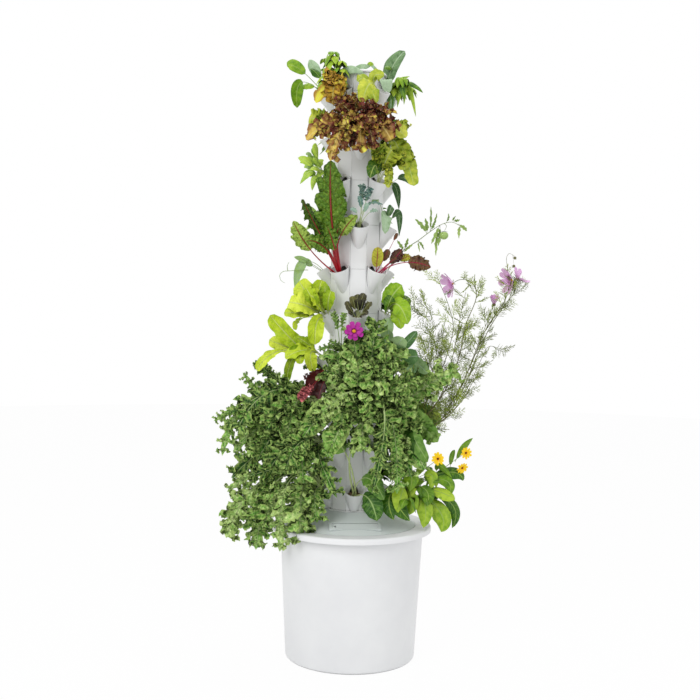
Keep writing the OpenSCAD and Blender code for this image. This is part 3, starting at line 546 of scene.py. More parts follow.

# %% [markdown]
# ## Leaf and petal finishes
# A leaf's colour runs from deep to bright, so every leaf carries a tone, and a noise moves it a little over
# the blade. The tone is partly the leaf's own colour, bright on the young ones, and partly painted shade,
# deep where a leaf lies in the shade of the rosette. The midrib and the side veins are paler lines, found
# from how far across and along the leaf a point lies, and they also dent the surface. The underside is paler,
# and painted shade darkens the hollows between crowded leaves. A rim colour, where a plant has one, tints the
# outer edge: on the red and gold lettuces it is their own edge colour, on kale a painted highlight.

# %% A leaf's material
def leaf_finish(name, deep, mid, bright, vein, rim_tint_and_highlight=None, veins=9.0, slant=0.35, crinkle=0.0006, gloss=0.42,
                vein_share=0.55, spots=60.0, blister=260.0, mottled=1.1):
    make = finish_of(name)
    calc, falling = make.math, make.falling
    x, y, z = make.on_leaf()
    across = calc("ABSOLUTE", x)
    mottle = make.noise(spots, 3.0, Roughness=0.6)
    own = make("Attribute", attribute_name="tone").outputs["Fac"]
    shift = calc("MULTIPLY", calc("SUBTRACT", mottle, 0.5), mottled)
    colour = make.ramp(calc("ADD", own, shift, True), (0.05, deep), (0.5, mid), (0.98, bright))
    swept = calc("MULTIPLY", calc("POWER", across, 0.8), slant * veins * 0.5)
    phase = calc("SUBTRACT", calc("MULTIPLY", y, veins), swept)
    side_vein = calc("MULTIPLY", falling(calc("PINGPONG", phase, 0.5), 0.02, 0.1), falling(across, 0.55, 1.0))
    lines = calc("MAXIMUM", falling(across, 0.035, 0.1), calc("MULTIPLY", side_vein, vein_share))
    # The rim colour is the leaf's own edge colour on some plants and a painted highlight on the kale's
    # frilled edges.
    if rim_tint_and_highlight:
        outer = calc("SUBTRACT", 1.0, falling(across, 0.35, 0.85))
        rim_tint_and_highlight_share = calc("MULTIPLY", outer, calc("MULTIPLY", mottle, 1.7), True)
        colour = make.mix(rim_tint_and_highlight_share, colour, linear(rim_tint_and_highlight))
    colour = make.mix(calc("MULTIPLY", lines, 0.75), colour, linear(vein))
    pale = tuple(min(255, int(c * 0.85 + k)) for c, k in zip(mid, (40, 42, 26)))
    colour = make.mix(calc("MULTIPLY", z, 0.35), colour, linear(pale))
    # Painted shade: ambient occlusion within 45 mm darkens the colour towards a dim deep tone between crowded
    # leaves.
    hollow = make("AmbientOcclusion", samples=4, Distance=0.045).outputs["AO"]
    colour = make.mix(calc("SUBTRACT", 1.0, falling(hollow, 0.02, 0.66)), linear(deep, 0.3), colour)
    rough = calc("ADD", calc("MULTIPLY", mottle, 0.25), gloss - 0.1)
    height = calc("SUBTRACT", make.noise(blister, 3.0), calc("MULTIPLY", lines, 0.8))
    return make.skin(colour, rough, 0.28, height, 0.7, crinkle)


def stalk_finish(name, base, end, gloss=0.38):
    """A stalk runs from one colour at its foot to another in the leaf, with fine lines along it."""
    make = finish_of(name)
    streak = make.noise(110.0, 3.0)
    colour = make.mix(make.on_leaf()[1], linear(base), linear(end))
    colour = make.mix(make.math("MULTIPLY", streak, 0.45), colour, linear(base, 0.55))
    return make.skin(colour, gloss, 0.35, streak, 0.5, 0.0003)


def petal_finish(name, inner, outer):
    make = finish_of(name)
    x, y, _ = make.on_leaf()
    rays = make.falling(make.math("PINGPONG", make.math("MULTIPLY", x, 3.0), 0.5), 0.0, 0.2)
    colour = make.mix(make.falling(y, 0.3, 0.55), linear(outer), linear(inner))
    colour = make.mix(make.math("MULTIPLY", rays, 0.25), colour, linear(outer, 0.6))
    return make.skin(colour, 0.55, 0.25, make.noise(220.0, 2.0), 0.5, 0.0004)


print("leaf, stalk and petal finishes ready")

# %% [markdown]
# ## The leaf tables
# A plant's name stands alone, and a line with a word in it is a cup: its level, degrees round from the
# front, and the form of the leaves that follow. Every other line is one leaf: the middle and the tip of its
# midrib as `picked` takes them, its width in pixels, its tone from deep to bright, partly its own colour and
# partly painted shade where it lies deep in the plant, and where along it the blade starts. A last number,
# where there is one, is the stalk's radius in millimetres.

# %% Leaves by plant
TABLE = {}
for line in """\
kale_left
2 -72 kale
278 404 0 243 372 -10 15 .75 .5
285 385 -20 255 360 -40 17 .15 .5
1 -108 kale
300 412 -20 276 371 0 9 .95 .45
306 425 0 283 390 20 11 .95 .5
2 -72 kale
262 402 60 214 421 60 14 .7 .62
256 398 90 222 456 90 20 .7 .55
275 390 80 236 432 110 40 .25 .32
285 396 20 248 420 -60 38 .2 .35
1 -108 kale
285 418 30 233 452 60 34 .8 .4
290 425 80 258 460 130 36 .35 .4
285 438 -40 231 478 -40 36 .2 .4
1 -36 kale
300 440 150 270 470 160 32 .2 .4
0 -72 kale
275 470 30 227 492 40 20 .9 .5
268 478 60 226 538 80 34 .95 .62
280 478 110 256 550 120 34 .6 .6
290 480 150 280 552 150 26 .95 .6
305 484 150 300 543 180 44 .85 .45
316 490 160 317 523 168 30 .6 .3
1 -36 kale
318 448 150 337 498 180 28 .3 .35
308 445 170 304 484 200 32 .5 .35
2 -72 kale
300 395 80 268 428 150 36 .4 .35
300 398 100 285 452 150 30 .75 .4
2 -72 savoy
302 402 80 284 424 110 26 .35 .35
1 -108 kale
280 420 -120 245 446 -180 40 .2 .35
0 -72 kale
290 463 -60 262 516 -120 30 .4 .66
2 -72 kale
290 400 -60 262 412 -140 38 .15 .35
1 -108 kale
300 430 -140 280 474 -200 38 .3 .35
2 -72 kale
292 398 40 262 400 20 40 .5 .3
1 -108 kale
296 430 20 262 444 20 38 .45 .3
0 -72 kale
296 470 60 250 476 60 30 .2 .4
1 -108 kale
300 440 80 290 474 110 36 .55 .3
0 -72 kale
296 472 120 262 528 140 28 .7 .66
1 -36 kale
305 440 190 286 470 215 30 .35 .35
2 -72 kale
300 390 -20 285 398 -30 26 .4 .3
0 -72 kale
300 478 20 300 532 20 38 .4 .5
290 472 -20 246 524 -40 32 .5 .66
kale_centre
2 0 savoy
334 403 190 303 438 200 30 .35 .4
345 418 200 327 457 212 26 .6 .35
2 0 kale
376 412 190 384 470 195 26 .3 .55
362 408 205 361 453 228 30 .8 .4
345 380 170 333 350 140 32 .6 .35
357 370 160 353 333 150 36 .55 .35
370 365 160 375 320 130 34 .3 .35
384 378 150 397 348 120 36 .7 .35
388 393 150 412 378 130 32 .65 .35
385 400 180 406 418 180 36 .5 .3
366 385 200 386 383 232 38 .85 .2
350 385 200 336 374 222 36 .8 .2
357 388 220 358 362 240 34 .7 .2
350 400 200 326 390 210 32 .6 .3
372 400 210 394 436 202 34 .55 .35
384 410 240 372 494 215 24 .15 .6 4.2
350 392 252 312 422 205 26 .9 .55 3.2
388 412 205 397 494 185 28 .5 .6 3.2
368 395 215 372 425 238 36 .75 .3
345 398 210 342 425 225 34 .6 .35
375 375 175 388 362 190 34 .75 .25
345 385 130 322 372 100 28 .4 .35
360 400 215 350 410 235 30 .65 .3
380 390 195 402 398 205 32 .7 .3
340 405 190 316 412 200 30 .35 .35
kale_right
1 36 kale
405 403 90 458 370 70 36 .8 .32 2.6
1 36 broad
400 398 0 428 362 -40 24 .25 .4
1 36 kale
396 425 120 420 426 140 28 .5 .3
1 36 broad
396 420 90 414 400 80 24 .5 .35
1 36 kale
392 440 150 412 478 170 30 .4 .35
385 435 160 404 450 190 30 .6 .3
1 36 broad
400 440 100 425 470 110 28 .35 .35
collard
2 72 savoy
405 413 60 438 442 70 27 .75 .35
2 72 broad
400 420 100 428 462 100 22 .5 .35
408 408 20 433 428 -40 27 .3 .35
398 425 120 405 462 130 26 .2 .35
410 410 -30 442 420 -60 22 .4 .4
0 0 broad
345 452 190 322 436 212 28 .6 .5 3.4
0 0 kale
350 455 185 366 432 222 26 .8 .55 3.4
0 0 broad
368 498 180 377 521 200 22 .1 .3 2.4
366 478 170 384 500 190 20 .3 .35 2.4
burgundy_lettuce
3 -36 heart
322 372 100 311 396 130 20 .35 .42
327 376 110 318 399 135 10 .2 .55
3 -36 crisp
318 380 120 300 399 165 13 .98 .65
3 -36 frill
323 370 80 306 380 90 10 .3 .6
330 376 90 323 390 110 9 .2 .5
cabbage_seedlings
3 36 round
384 345 80 389 330 90 15 .8 .35
392 350 90 403 337 110 16 .95 .5
390 356 90 407 350 110 15 .6 .4
3 108 round
398 352 20 417 331 20 10 .2 .5
402 358 10 418 356 20 16 .4 .45
402 366 10 416 372 20 16 .55 .4
3 36 round
384 340 60 388 318 70 13 .95 .5
3 108 round
400 362 0 414 382 10 11 .25 .45
405 358 -20 428 374 -10 13 .8 .5
3 36 round
380 348 100 376 338 120 12 .5 .35
lime_lettuce
4 -72 heart
312 300 60 299 281 50 22 .75 .25
320 299 80 322 280 70 17 .3 .25
316 304 110 306 288 118 14 .3 .3
326 300 90 325 286 90 12 .1 .3
308 307 95 289 302 90 24 .95 .2
328 304 100 331 291 110 13 .2 .25
308 314 100 284 313 90 12 .6 .35
303 318 60 295 330 50 7 .4 .5
318 320 100 315 345 110 17 .55 .25
318 302 100 310 296 125 20 .65 .15
316 298 20 312 284 -10 22 .4 .25
3 -108 heart
303 350 0 270 315 0 19 .45 .42
300 352 -20 269 340 -20 15 .95 .5
306 352 30 290 352 40 12 .1 .4
306 354 50 300 364 60 10 .5 .4
310 350 40 285 358 45 16 .6 .3
312 347 20 298 338 20 12 .3 .35
284 350 10 257 371 20 11 .7 .5
312 352 60 313 372 70 13 .75 .3
298 354 20 287 383 20 9 .15 .4
306 346 -60 290 344 -90 18 .4 .35
bok_choy
4 72 broad
390 300 60 402 285 60 21 .65 .3
396 304 85 408 324 75 20 .8 .25
394 312 70 401 329 70 15 .9 .3
388 306 90 392 296 100 14 .15 .25
396 306 20 410 298 -10 18 .3 .3
dark_rosette
4 0 broad
351 310 130 346 301 135 8 .5 .3 1.4
354 304 125 352 296 125 8 .7 .3 1.4
361 302 120 364 293 120 9 .35 .3 1.4
366 307 130 370 302 135 8 .6 .3 1.4
358 306 140 357 299 150 7 .1 .3 1.4
352 314 140 348 313 155 7 .2 .3 1.4
363 313 145 367 315 158 7 .4 .3 1.4
362 306 135 363 299 145 6 .05 .3 1.4
357 303 100 358 294 90 9 .5 .3 1.4
chard
5 -36 chard
332 222 110 331 160 88 36 .45 .34 4.2
322 238 100 302 199 90 18 .3 .5 2.8
313 253 110 293 221 110 19 .85 .55 2.6
325 248 140 306 241 150 18 .55 .4 2.6
334 246 150 327 226 160 17 .5 .42 3.2
338 243 120 357 215 122 15 .8 .62 2.6
330 240 90 318 222 70 14 .35 .5 3.2
337 240 130 340 228 140 12 .4 .6 3
327 250 130 322 236 140 12 .6 .5 3
330 255 120 327 240 135 5 .4 .8 3.2
334 256 130 333 240 150 5 .5 .8 3.2
333 232 80 345 196 80 18 .35 .45 2.6
334 234 70 348 222 90 14 .95 .5 2.2
326 250 60 313 236 60 15 .75 .4 2.2
7 -36 broad
333 176 90 326 164 80 12 .3 .3
beet
5 36 round
377 262 100 378 247 112 12 .95 .32 1.6
5 36 broad
383 261 90 388 249 90 8 .3 .5 1.6
5 36 chard
391 262 90 402 249 90 12 .12 .5 2.2
396 262 80 411 256 80 9 .85 .6 2
402 263 90 431 267 80 18 .35 .6 2
388 264 110 397 258 120 8 .2 .55 1.8
5 36 broad
390 248 70 397 233 60 4 .3 .7 1.2
gold_lettuce
9 -36 crisp
337 82 120 325 78 122 19 .75 .25
336 84 130 332 104 150 22 .45 .25
339 78 115 341 96 150 15 .85 .3
9 -36 heart
330 86 120 316 103 138 14 .98 .35
green_lettuce
9 36 broad
371 83 130 362 103 150 19 .75 .25
374 78 110 384 76 118 13 .7 .3
372 88 130 377 103 146 14 .6 .3
366 80 120 358 82 130 12 .65 .35
8 -72 lettuce
324 124 40 309 118 30 20 .8 .3
8 -72 crisp
322 128 10 312 134 -10 18 .7 .3
326 122 60 320 114 60 14 .5 .3
8 72 crisp
396 130 40 408 124 20 14 .8 .3
8 72 broad
392 127 80 406 138 110 19 .85 .3
8 72 lettuce
400 145 70 414 186 70 16 .7 .35
394 140 80 405 170 90 22 .6 .3
8 72 crisp
386 140 100 376 168 120 16 .55 .3
7 36 broad
376 166 130 370 178 145 15 .1 .2
7 36 lettuce
386 160 120 392 150 120 24 .75 .25
7 36 crisp
380 158 130 374 150 140 18 .65 .25
388 168 120 388 188 125 12 .8 .35
392 162 100 404 160 90 18 .7 .25
8 72 crisp
398 142 10 410 160 -20 16 .6 .3
red_lettuce
8 0 frill
351 114 150 336 103 150 16 .12 .3
356 108 140 351 97 140 12 .45 .35
363 118 165 365 104 172 16 .05 .25
374 120 150 388 110 142 18 .35 .35
8 0 lettuce
376 124 160 391 140 160 20 .35 .3
8 0 frill
360 120 200 361 153 214 22 .5 .15
345 126 190 330 161 200 20 .55 .3
8 0 lettuce
336 122 150 306 140 150 21 .5 .35
8 0 frill
340 118 140 324 121 130 13 .4 .35
350 128 200 346 152 205 14 .75 .3
368 126 190 374 150 195 16 .15 .3
352 118 190 342 130 205 16 .8 .2
344 122 170 318 134 175 20 .6 .35
356 122 180 352 148 195 16 .1 .3
378 122 150 396 130 140 18 .2 .3
366 118 150 376 104 150 16 .1 .3
350 112 130 342 96 130 14 .3 .3
372 124 170 384 128 180 16 .45 .2
366 116 190 372 128 205 16 .25 .2
top_basil
9 -108 round
303 72 -10 287 66 -10 13 .6 .45 1.5
9 -108 basil
313 86 0 298 90 0 10 .75 .45 1.4
9 -108 round
303 82 10 297 108 10 13 .45 .5 1.4
9 -108 basil
320 78 -30 310 69 -30 9 .1 .5 1.2
9 108 lance
390 88 20 391 116 30 7 .12 .35 1.2
376 70 40 367 66 50 4 .8 .6 1
9 108 basil
384 72 -10 392 70 -10 7 .3 .6 1
top_grey
9 108 round
390 73 -20 405 51 -20 20 .35 .3 1.8
385 80 40 388 94 50 13 .98 .3 1.4
9 108 basil
391 92 20 390 117 30 9 .5 .3 1.2
9 -108 basil
318 74 -40 309 60 -40 11 .85 .4 1.2
352 74 60 371 66 50 9 .75 .35 1.2
344 72 90 366 76 90 8 .9 .3 1.2
9 108 lance
378 74 40 368 66 50 5 .8 .5 1
sage
6 72 round
386 215 60 385 234 70 12 .75 .25 1.2
389 214 50 392 206 50 8 .15 .4 1.2
6 72 lance
397 212 20 399 237 20 8 .05 .35 1.2
394 216 30 401 212 30 6 .1 .4 1
7 108 lance
395 186 0 399 210 0 8 .05 .3 1.2
6 72 round
380 204 60 372 204 80 5 .5 .6 1
7 108 lance
400 178 -30 409 184 -30 9 .1 .4 1
young_kale
6 0 kale
362 202 120 362 185 125 10 .7 .55 1.1
365 204 125 371 188 125 9 .5 .55 1.1
6 0 sprig
361 208 130 358 196 135 6 .3 .5 1.1
366 206 120 383 205 110 5 .4 .5 1
364 212 130 368 203 140 6 .9 .5 1.1
357 214 130 350 209 135 5 .8 .55 1
368 214 130 378 211 130 6 .95 .6 1
pea_shoots
7 -108 basil
316 164 10 300 163 10 8 .7 .55 1
318 160 10 313 148 10 7 .5 .55 1
320 168 20 324 160 25 7 .85 .5 1
316 174 10 303 176 15 8 .6 .5 1
318 176 30 312 191 35 7 .8 .4 1
314 168 -20 304 168 -30 8 .4 .5 1
322 172 20 319 180 40 8 .75 .35 1
314 160 0 306 155 0 5 .2 .6 .9
320 166 40 313 158 50 7 .65 .5 1
6 -72 basil
316 214 30 302 205 20 8 .4 .4 1
318 222 40 306 230 40 8 .5 .35 1
7 -108 basil
318 158 20 316 143 20 7 .8 .5 1
312 166 30 298 158 30 8 .9 .5 1
314 172 30 300 184 30 8 .7 .5 1
320 170 40 310 170 55 9 .95 .4 1
318 164 0 307 158 -5 8 .3 .4 1
320 176 0 314 184 10 9 .6 .4 1
6 -72 basil
320 216 40 312 220 60 10 .5 .35 1
5 -108 lance
306 262 -30 295 291 -25 11 .08 .35 1.3
310 263 -30 294 257 -30 6 .15 .5 1.1
313 266 -20 306 262 -10 6 .2 .5 1.1""".splitlines():
    words = line.split()
    if len(words) == 1:
        TABLE[line] = rows = []
    elif len(words) == 3:
        level, around, form = int(words[0]), int(words[1]), words[2]
    else:
        values = [float(word) for word in words]
        width = round(values[6] * (CAMERA_AT[1] - values[5]) / FOCAL)
        rows.append((level, around, picked(*values[:3]), picked(*values[3:6]), width, form, *values[7:]))
print(sum(len(rows) for rows in TABLE.values()), "leaves placed by hand")

# %% [markdown]
# ## Growing them
# All plants share one gardener: it walks a table, starts each leaf on its plug a few millimetres from the
# next one, and turns broad faces to the light. The dice are seeded, so every run grows the same plant.
# Inside the kale, where single leaves can't be told apart, more are scattered through an egg-shaped space.
# They are a piece of their own, which keeps both pieces light enough to hand over whole.

# %% Gardener
FRONT = turned((0, -1, 0.45))


def grow(name, finish, stalks_finish, slot, seed, stalk=1.8, extra=None, body="tower", node=None):
    dice = random.Random(seed)
    blades, stalks = Growth(), Growth()
    for level, around, mid, tip, width, form, tone, start, *own in TABLE.get(name, ()):
        root = cup(level, around, dice.uniform(-9, 9)) + UP * dice.uniform(-1, 1) / 1000
        face = np.array(FRONT) + stray(dice, 0.5, 0.2, (-0.3, 0.4))
        leaf(blades, stalks, root, seen(*mid), seen(*tip), width, form, tone, start, face,
             dice.uniform(-18, 18), own[0] if own else stalk, dice)
    if extra:
        extra(blades, stalks, dice)
    blades.mesh(name + "_leaves", finish, node or name, slot, body)
    stalks.mesh(name + "_stalks", stalks_finish, node or name, slot, body)


def bushy(blades, stalks, dice, cups=((2, -72), (1, -108), (0, -72), (1, -36)), centre=(-262, 0, 715),
          size=(105, 150, 110), count=12, width=120, forms=("kale",)):
    """More leaves inside the mass of a plant, each from one of its cups."""
    for i in range(count):
        root = cup(*cups[i % len(cups)], dice.uniform(-10, 10))
        while True:
            p = stray(dice, 1, 1, 1)
            if p @ p <= 1:
                break
        tip = seen(*(np.array(centre) + p * np.array(size)))
        mid = (root + tip) / 2 + stray(dice, 20, 20, (40, 90)) / 1000
        face = unit(np.array([tip[0], tip[1], 0.0])) + stray(dice, 0.6, 0.6, (0.1, 0.9))
        leaf(blades, stalks, root, mid, tip, width * dice.uniform(0.8, 1.15), dice.choice(forms),
             dice.uniform(0.1, 0.8), 0.4, face, dice.uniform(-30, 30), 2.2, dice)


# On kale the rim colour is a painted highlight of frilled edges catching the light, and the strong mottle
# partly varies the curls' own tone and partly paints pale highlights beside dark patches.
kale_green = leaf_finish(
    "kale leaf", (24, 70, 14), (116, 180, 62), (224, 248, 162), (208, 228, 160), rim_tint_and_highlight=(178, 206, 112),
    veins=7.0, crinkle=0.012, gloss=0.5, spots=120.0, blister=140.0, mottled=2.2)
kale_stalk = stalk_finish("pale kale stalk", (190, 204, 140), (150, 178, 108))
grow("kale_left", kale_green, kale_stalk, "kale_leaf", 11, 2.6)
grow("kale_inner", kale_green, kale_stalk, "kale_leaf", 14, extra=bushy, node="kale_left")
grow("kale_centre", kale_green, kale_stalk, "kale_leaf", 12, 2.6)
grow("kale_right", kale_green, kale_stalk, "kale_leaf", 13, 2.4)

# %% [markdown]
# ### Lettuces, chard and beet
# Lettuce is a thin blade whose edge is far too long for it and so ruffles. On the red ones the colour sits in
# that edge, which the finish paints from how far out a point lies. Chard and beet are blistered between their
# veins, on thick glossy stems that carry most of their colour.

# %% Leafy heads
lettuce_stalk = stalk_finish("pale lettuce stalk", (206, 214, 160), (176, 190, 110))
red_stalk = stalk_finish("crimson stalk", (186, 18, 38), (120, 34, 34), 0.28)
grow("red_lettuce", leaf_finish(
    "red lettuce leaf", (92, 36, 24), (208, 176, 74), (244, 238, 92), (224, 198, 124), rim_tint_and_highlight=(118, 46, 42),
    veins=8.0, vein_share=0.3, gloss=0.4, spots=45.0), lettuce_stalk, "red_leaf", 21)
grow("gold_lettuce", leaf_finish(
    "gold lettuce leaf", (140, 88, 30), (204, 168, 40), (220, 214, 56), (226, 212, 110), rim_tint_and_highlight=(168, 124, 44),
    vein_share=0.4, gloss=0.4), lettuce_stalk, "gold_leaf", 22)
grow("green_lettuce", leaf_finish(
    "green lettuce leaf", (50, 92, 10), (140, 164, 34), (212, 216, 76), (186, 202, 112), vein_share=0.3),
    lettuce_stalk, "lettuce_leaf", 23)
grow("lime_lettuce", leaf_finish(
    "lime lettuce leaf", (124, 160, 8), (184, 210, 30), (226, 240, 80), (216, 230, 130), vein_share=0.4,
    slant=0.6, crinkle=0.004, blister=120.0, spots=40.0), lettuce_stalk, "lime_leaf", 24)
grow("burgundy_lettuce", leaf_finish(
    "burgundy lettuce leaf", (48, 13, 13), (88, 25, 25), (222, 122, 126), (130, 60, 66), vein_share=0.3,
    spots=30.0), red_stalk, "burgundy_leaf", 25)
grow("chard", leaf_finish(
    "chard leaf", (20, 54, 6), (90, 130, 26), (176, 204, 92), (140, 60, 44), vein_share=0.2, crinkle=0.035,
    gloss=0.28, spots=120.0, blister=80.0, mottled=1.2), red_stalk, "chard_leaf", 26, 2.8)
grow("beet", leaf_finish(
    "beet leaf", (64, 30, 32), (112, 88, 44), (186, 186, 56), (170, 44, 60), veins=7.0, vein_share=0.5,
    crinkle=0.01, gloss=0.34, blister=120.0),
    stalk_finish("magenta stalk", (188, 24, 84), (150, 30, 60), 0.28), "beet_leaf", 27)
grow("bok_choy", leaf_finish(
    "bok choy leaf", (40, 84, 6), (110, 156, 16), (164, 200, 44), (178, 204, 110), vein_share=0.4, gloss=0.3),
    lettuce_stalk, "bok_choy_leaf", 28)
grow("dark_rosette", leaf_finish(
    "dark olive leaf", (34, 32, 24), (70, 68, 40), (112, 112, 54), (130, 128, 80), vein_share=0.3),
    lettuce_stalk, "rosette_leaf", 29, body="seedling")

# %% [markdown]
# ### Herbs and seedlings
# Their blades are small, smooth and simple. What makes them read is the way they sit: in pairs, drooping from
# the stem, with the stalk showing pale between them.

# %% Small leaves
green_stalk = stalk_finish("green stalk", (150, 176, 96), (120, 156, 74))
grey_leaf = dict(crinkle=0.0005, gloss=0.55, vein_share=0.3)
grow("collard", leaf_finish(
    "collard leaf", (38, 82, 14), (108, 154, 56), (166, 202, 104), (156, 186, 112), vein_share=0.4,
    crinkle=0.001), kale_stalk, "collard_leaf", 31, 2.4)
grow("cabbage_seedlings", leaf_finish(
    "blue green leaf", (60, 106, 48), (110, 154, 92), (172, 202, 142), (176, 200, 170), **grey_leaf),
    green_stalk, "cabbage_leaf", 32, 1.4)
sage_green = leaf_finish(
    "grey green leaf", (52, 88, 42), (118, 152, 102), (178, 204, 168), (180, 200, 172), **grey_leaf)
grow("sage", sage_green, green_stalk, "sage_leaf", 33, 1.0)
grow("young_kale", leaf_finish(
    "young kale leaf", (66, 104, 98), (108, 144, 132), (158, 184, 164), (170, 192, 176), **grey_leaf),
    kale_stalk, "young_kale_leaf", 34, 1.0)
grow("pea_shoots", leaf_finish(
    "shoot leaf", (150, 180, 130), (150, 188, 62), (190, 218, 82), (190, 214, 130), vein_share=0.3),
    green_stalk, "pea_leaf", 35, 0.9)

# %% [markdown]
# ### Basil
# Basil leaves come in pairs, each pair turned a quarter against the one below, and they droop from a straight
# stem. So the stem is drawn first, and a whorl of leaves is set at each joint of it, larger lower down.

# %% Leafy stems
def points_of(text):
    """Places as `picked` takes them, with a stroke between one and the next."""
    return [seen(*picked(*(float(v) for v in point.split()))) for point in text.split("/")]


def rows_of(text):
    """Rows of two places, as `picked` takes them, and plain values."""
    for row in text.split("/"):
        values = [float(v) for v in row.split()]
        yield seen(*picked(*values[:3])), seen(*picked(*values[3:6])), *values[6:]


def stem(stalks, points, radius, taper=0.5):
    """A smooth stem through the given points, thinner towards its end."""
    points = np.array(points, float)
    knots, t = np.linspace(0, 1, len(points)), np.linspace(0, 1, 4 * len(points) + 1)
    at = np.stack([np.interp(t, knots, points[:, k]) for k in range(3)], -1)
    for _ in range(3):
        at[1:-1] = (at[:-2] + 2 * at[1:-1] + at[2:]) / 4
    direction = unit(np.gradient(at, axis=0))
    side = unit(np.cross(direction, np.array([0.3, 1.0, 0.2])))
    tube(stalks, at, radius / 1000 * (1 - (1 - taper) * t), side, unit(np.cross(side, direction)), 7, 0.5)
    return at, direction


def sprig(blades, stalks, points, tiers, size, tones, dice, droop, width, each=4):
    at = stem(stalks, points, 1.3)[0]
    for tier in range(tiers):
        root = at[int(round((0.35 + 0.65 * tier / (tiers - 1)) * (len(at) - 1)))]
        for k in range(each if tier < tiers - 1 else each + 1):
            a = 2 * math.pi * (k + 0.5 * (tier % 2) + dice.uniform(-0.15, 0.15)) / each
            way = np.array([math.cos(a), math.sin(a), 0])
            long = size / 1000 * (1.1 - 0.35 * tier / (tiers - 1)) * dice.uniform(0.8, 1.15)
            tip = root + way * long * 0.85 - UP * (long * droop * dice.uniform(0.6, 1.3))
            mid = root + way * long * 0.5 + UP * (long * dice.uniform(0.02, 0.14))
            leaf(blades, stalks, root, mid, tip, long * 1000 * width, "basil", dice.uniform(*tones), 0.12,
                 None, dice.uniform(-25, 25), 0.8, dice)


print("stems and sprigs ready")

# %% Basil at the top and in a lowest cup
def top_sprigs(blades, stalks, dice):
    left, far = cup(9, -108, -3), cup(9, 108, 3)
    for path, tiers, size in (("326 86 50 / 331 68 85 / 333 53 90", 6, 40),
                              ("332 88 60 / 339 76 100 / 341 63 100", 4, 40),
                              ("324 86 -50 / 326 70 -60 / 326 60 -70", 3, 30)):
        sprig(blades, stalks, [left, *points_of(path)], tiers, size, (0.45, 1.0), dice, 0.7, 0.75, 5)
    for path, tiers, size in (("393 90 0 / 399 82 20 / 403 80 30", 4, 36),
                              ("394 92 -40 / 402 86 -60 / 410 90 -60", 3, 38)):
        sprig(blades, stalks, [far, *points_of(path)], tiers, size, (0.45, 1.0), dice, 0.9, 0.8)
    for mid, tip, tone in rows_of("""401 84 20 397 108 25 .75 / 404 82 10 404 105 10 .7 /
            408 84 0 416 117 0 .8 / 412 84 20 423 93 20 .2 / 402 88 40 404 100 45 .15 /
            398 80 20 410 76 10 .7"""):
        leaf(blades, stalks, seen(127, 20, 1833), mid, tip, 17, "basil", tone, 0.15, FRONT, 0, 0.9, dice)


def low_sprigs(blades, stalks, dice):
    for path, tiers, size in (("402 486 60 / 415 488 90 / 424 498 100", 3, 52),
                              ("405 478 40 / 424 478 60 / 440 494 70", 3, 50),
                              ("408 484 20 / 426 494 40 / 446 512 40", 3, 52),
                              ("398 488 100 / 402 492 140 / 408 500 150", 2, 54),
                              ("404 474 -40 / 424 466 -60 / 436 480 -70", 3, 50)):
        sprig(blades, stalks, [cup(0, 72, 4), *points_of(path)], tiers, size, (0.2, 0.8), dice, 0.7, 0.62)
    for mid, tip, width, tone in rows_of("""402 492 150 398 513 165 53 .85 / 412 498 120 409 515 130 43 .6 /
            424 502 110 423 528 120 56 .75 / 439 510 80 441 532 85 59 .7 / 450 502 50 452 528 50 37 .12 /
            440 492 90 455 500 90 40 .95 / 426 490 110 427 506 120 43 .3 / 396 498 150 410 521 160 56 .02 /
            390 496 150 394 520 165 53 .05 / 448 472 60 463 481 60 43 .12 / 430 474 90 430 490 100 37 .7 /
            444 480 80 449 496 80 37 .4 / 412 476 100 410 492 120 50 .45"""):
        leaf(blades, stalks, seen(174, 80, 569), mid, tip, width, "basil", tone, 0.3, FRONT,
             dice.uniform(-20, 20), 1.2, dice)


basil_green = leaf_finish(
    "basil leaf", (46, 92, 8), (110, 154, 22), (176, 204, 58), (162, 190, 86), vein_share=0.35, gloss=0.34)
grow("top_basil", basil_green, green_stalk, "basil_leaf", 41, 1.2, top_sprigs)
grow("top_grey", sage_green, green_stalk, "basil_leaf", 43, 1.2, node="top_basil")
grow("low_basil", basil_green, green_stalk, "basil_leaf", 42, extra=low_sprigs)

# %% Tendril of the shoots
curl = Growth()
stem(curl, points_of("""308 270 -20 / 298 270 -20 / 290 271 -20 / 283 271 -20 / 279 275 -20 /
    281 281 -20 / 285 283 -20"""), 1.1)
stem(curl, points_of("288 271 -20 / 287 266 -20 / 289 262 -20"), 1.1)
curl.mesh("shoot_tendril", green_stalk, "pea_shoots", "pea_leaf")

# %% [markdown]
# ### Flowers
# A flower is a ring of petals, each a small blade, round a domed middle. Cosmos has eight broad petals, one
# of them fallen. The marigold has ten narrow ones over eight shorter, and the zinnia-like flower eight broad
# ones over six shorter.

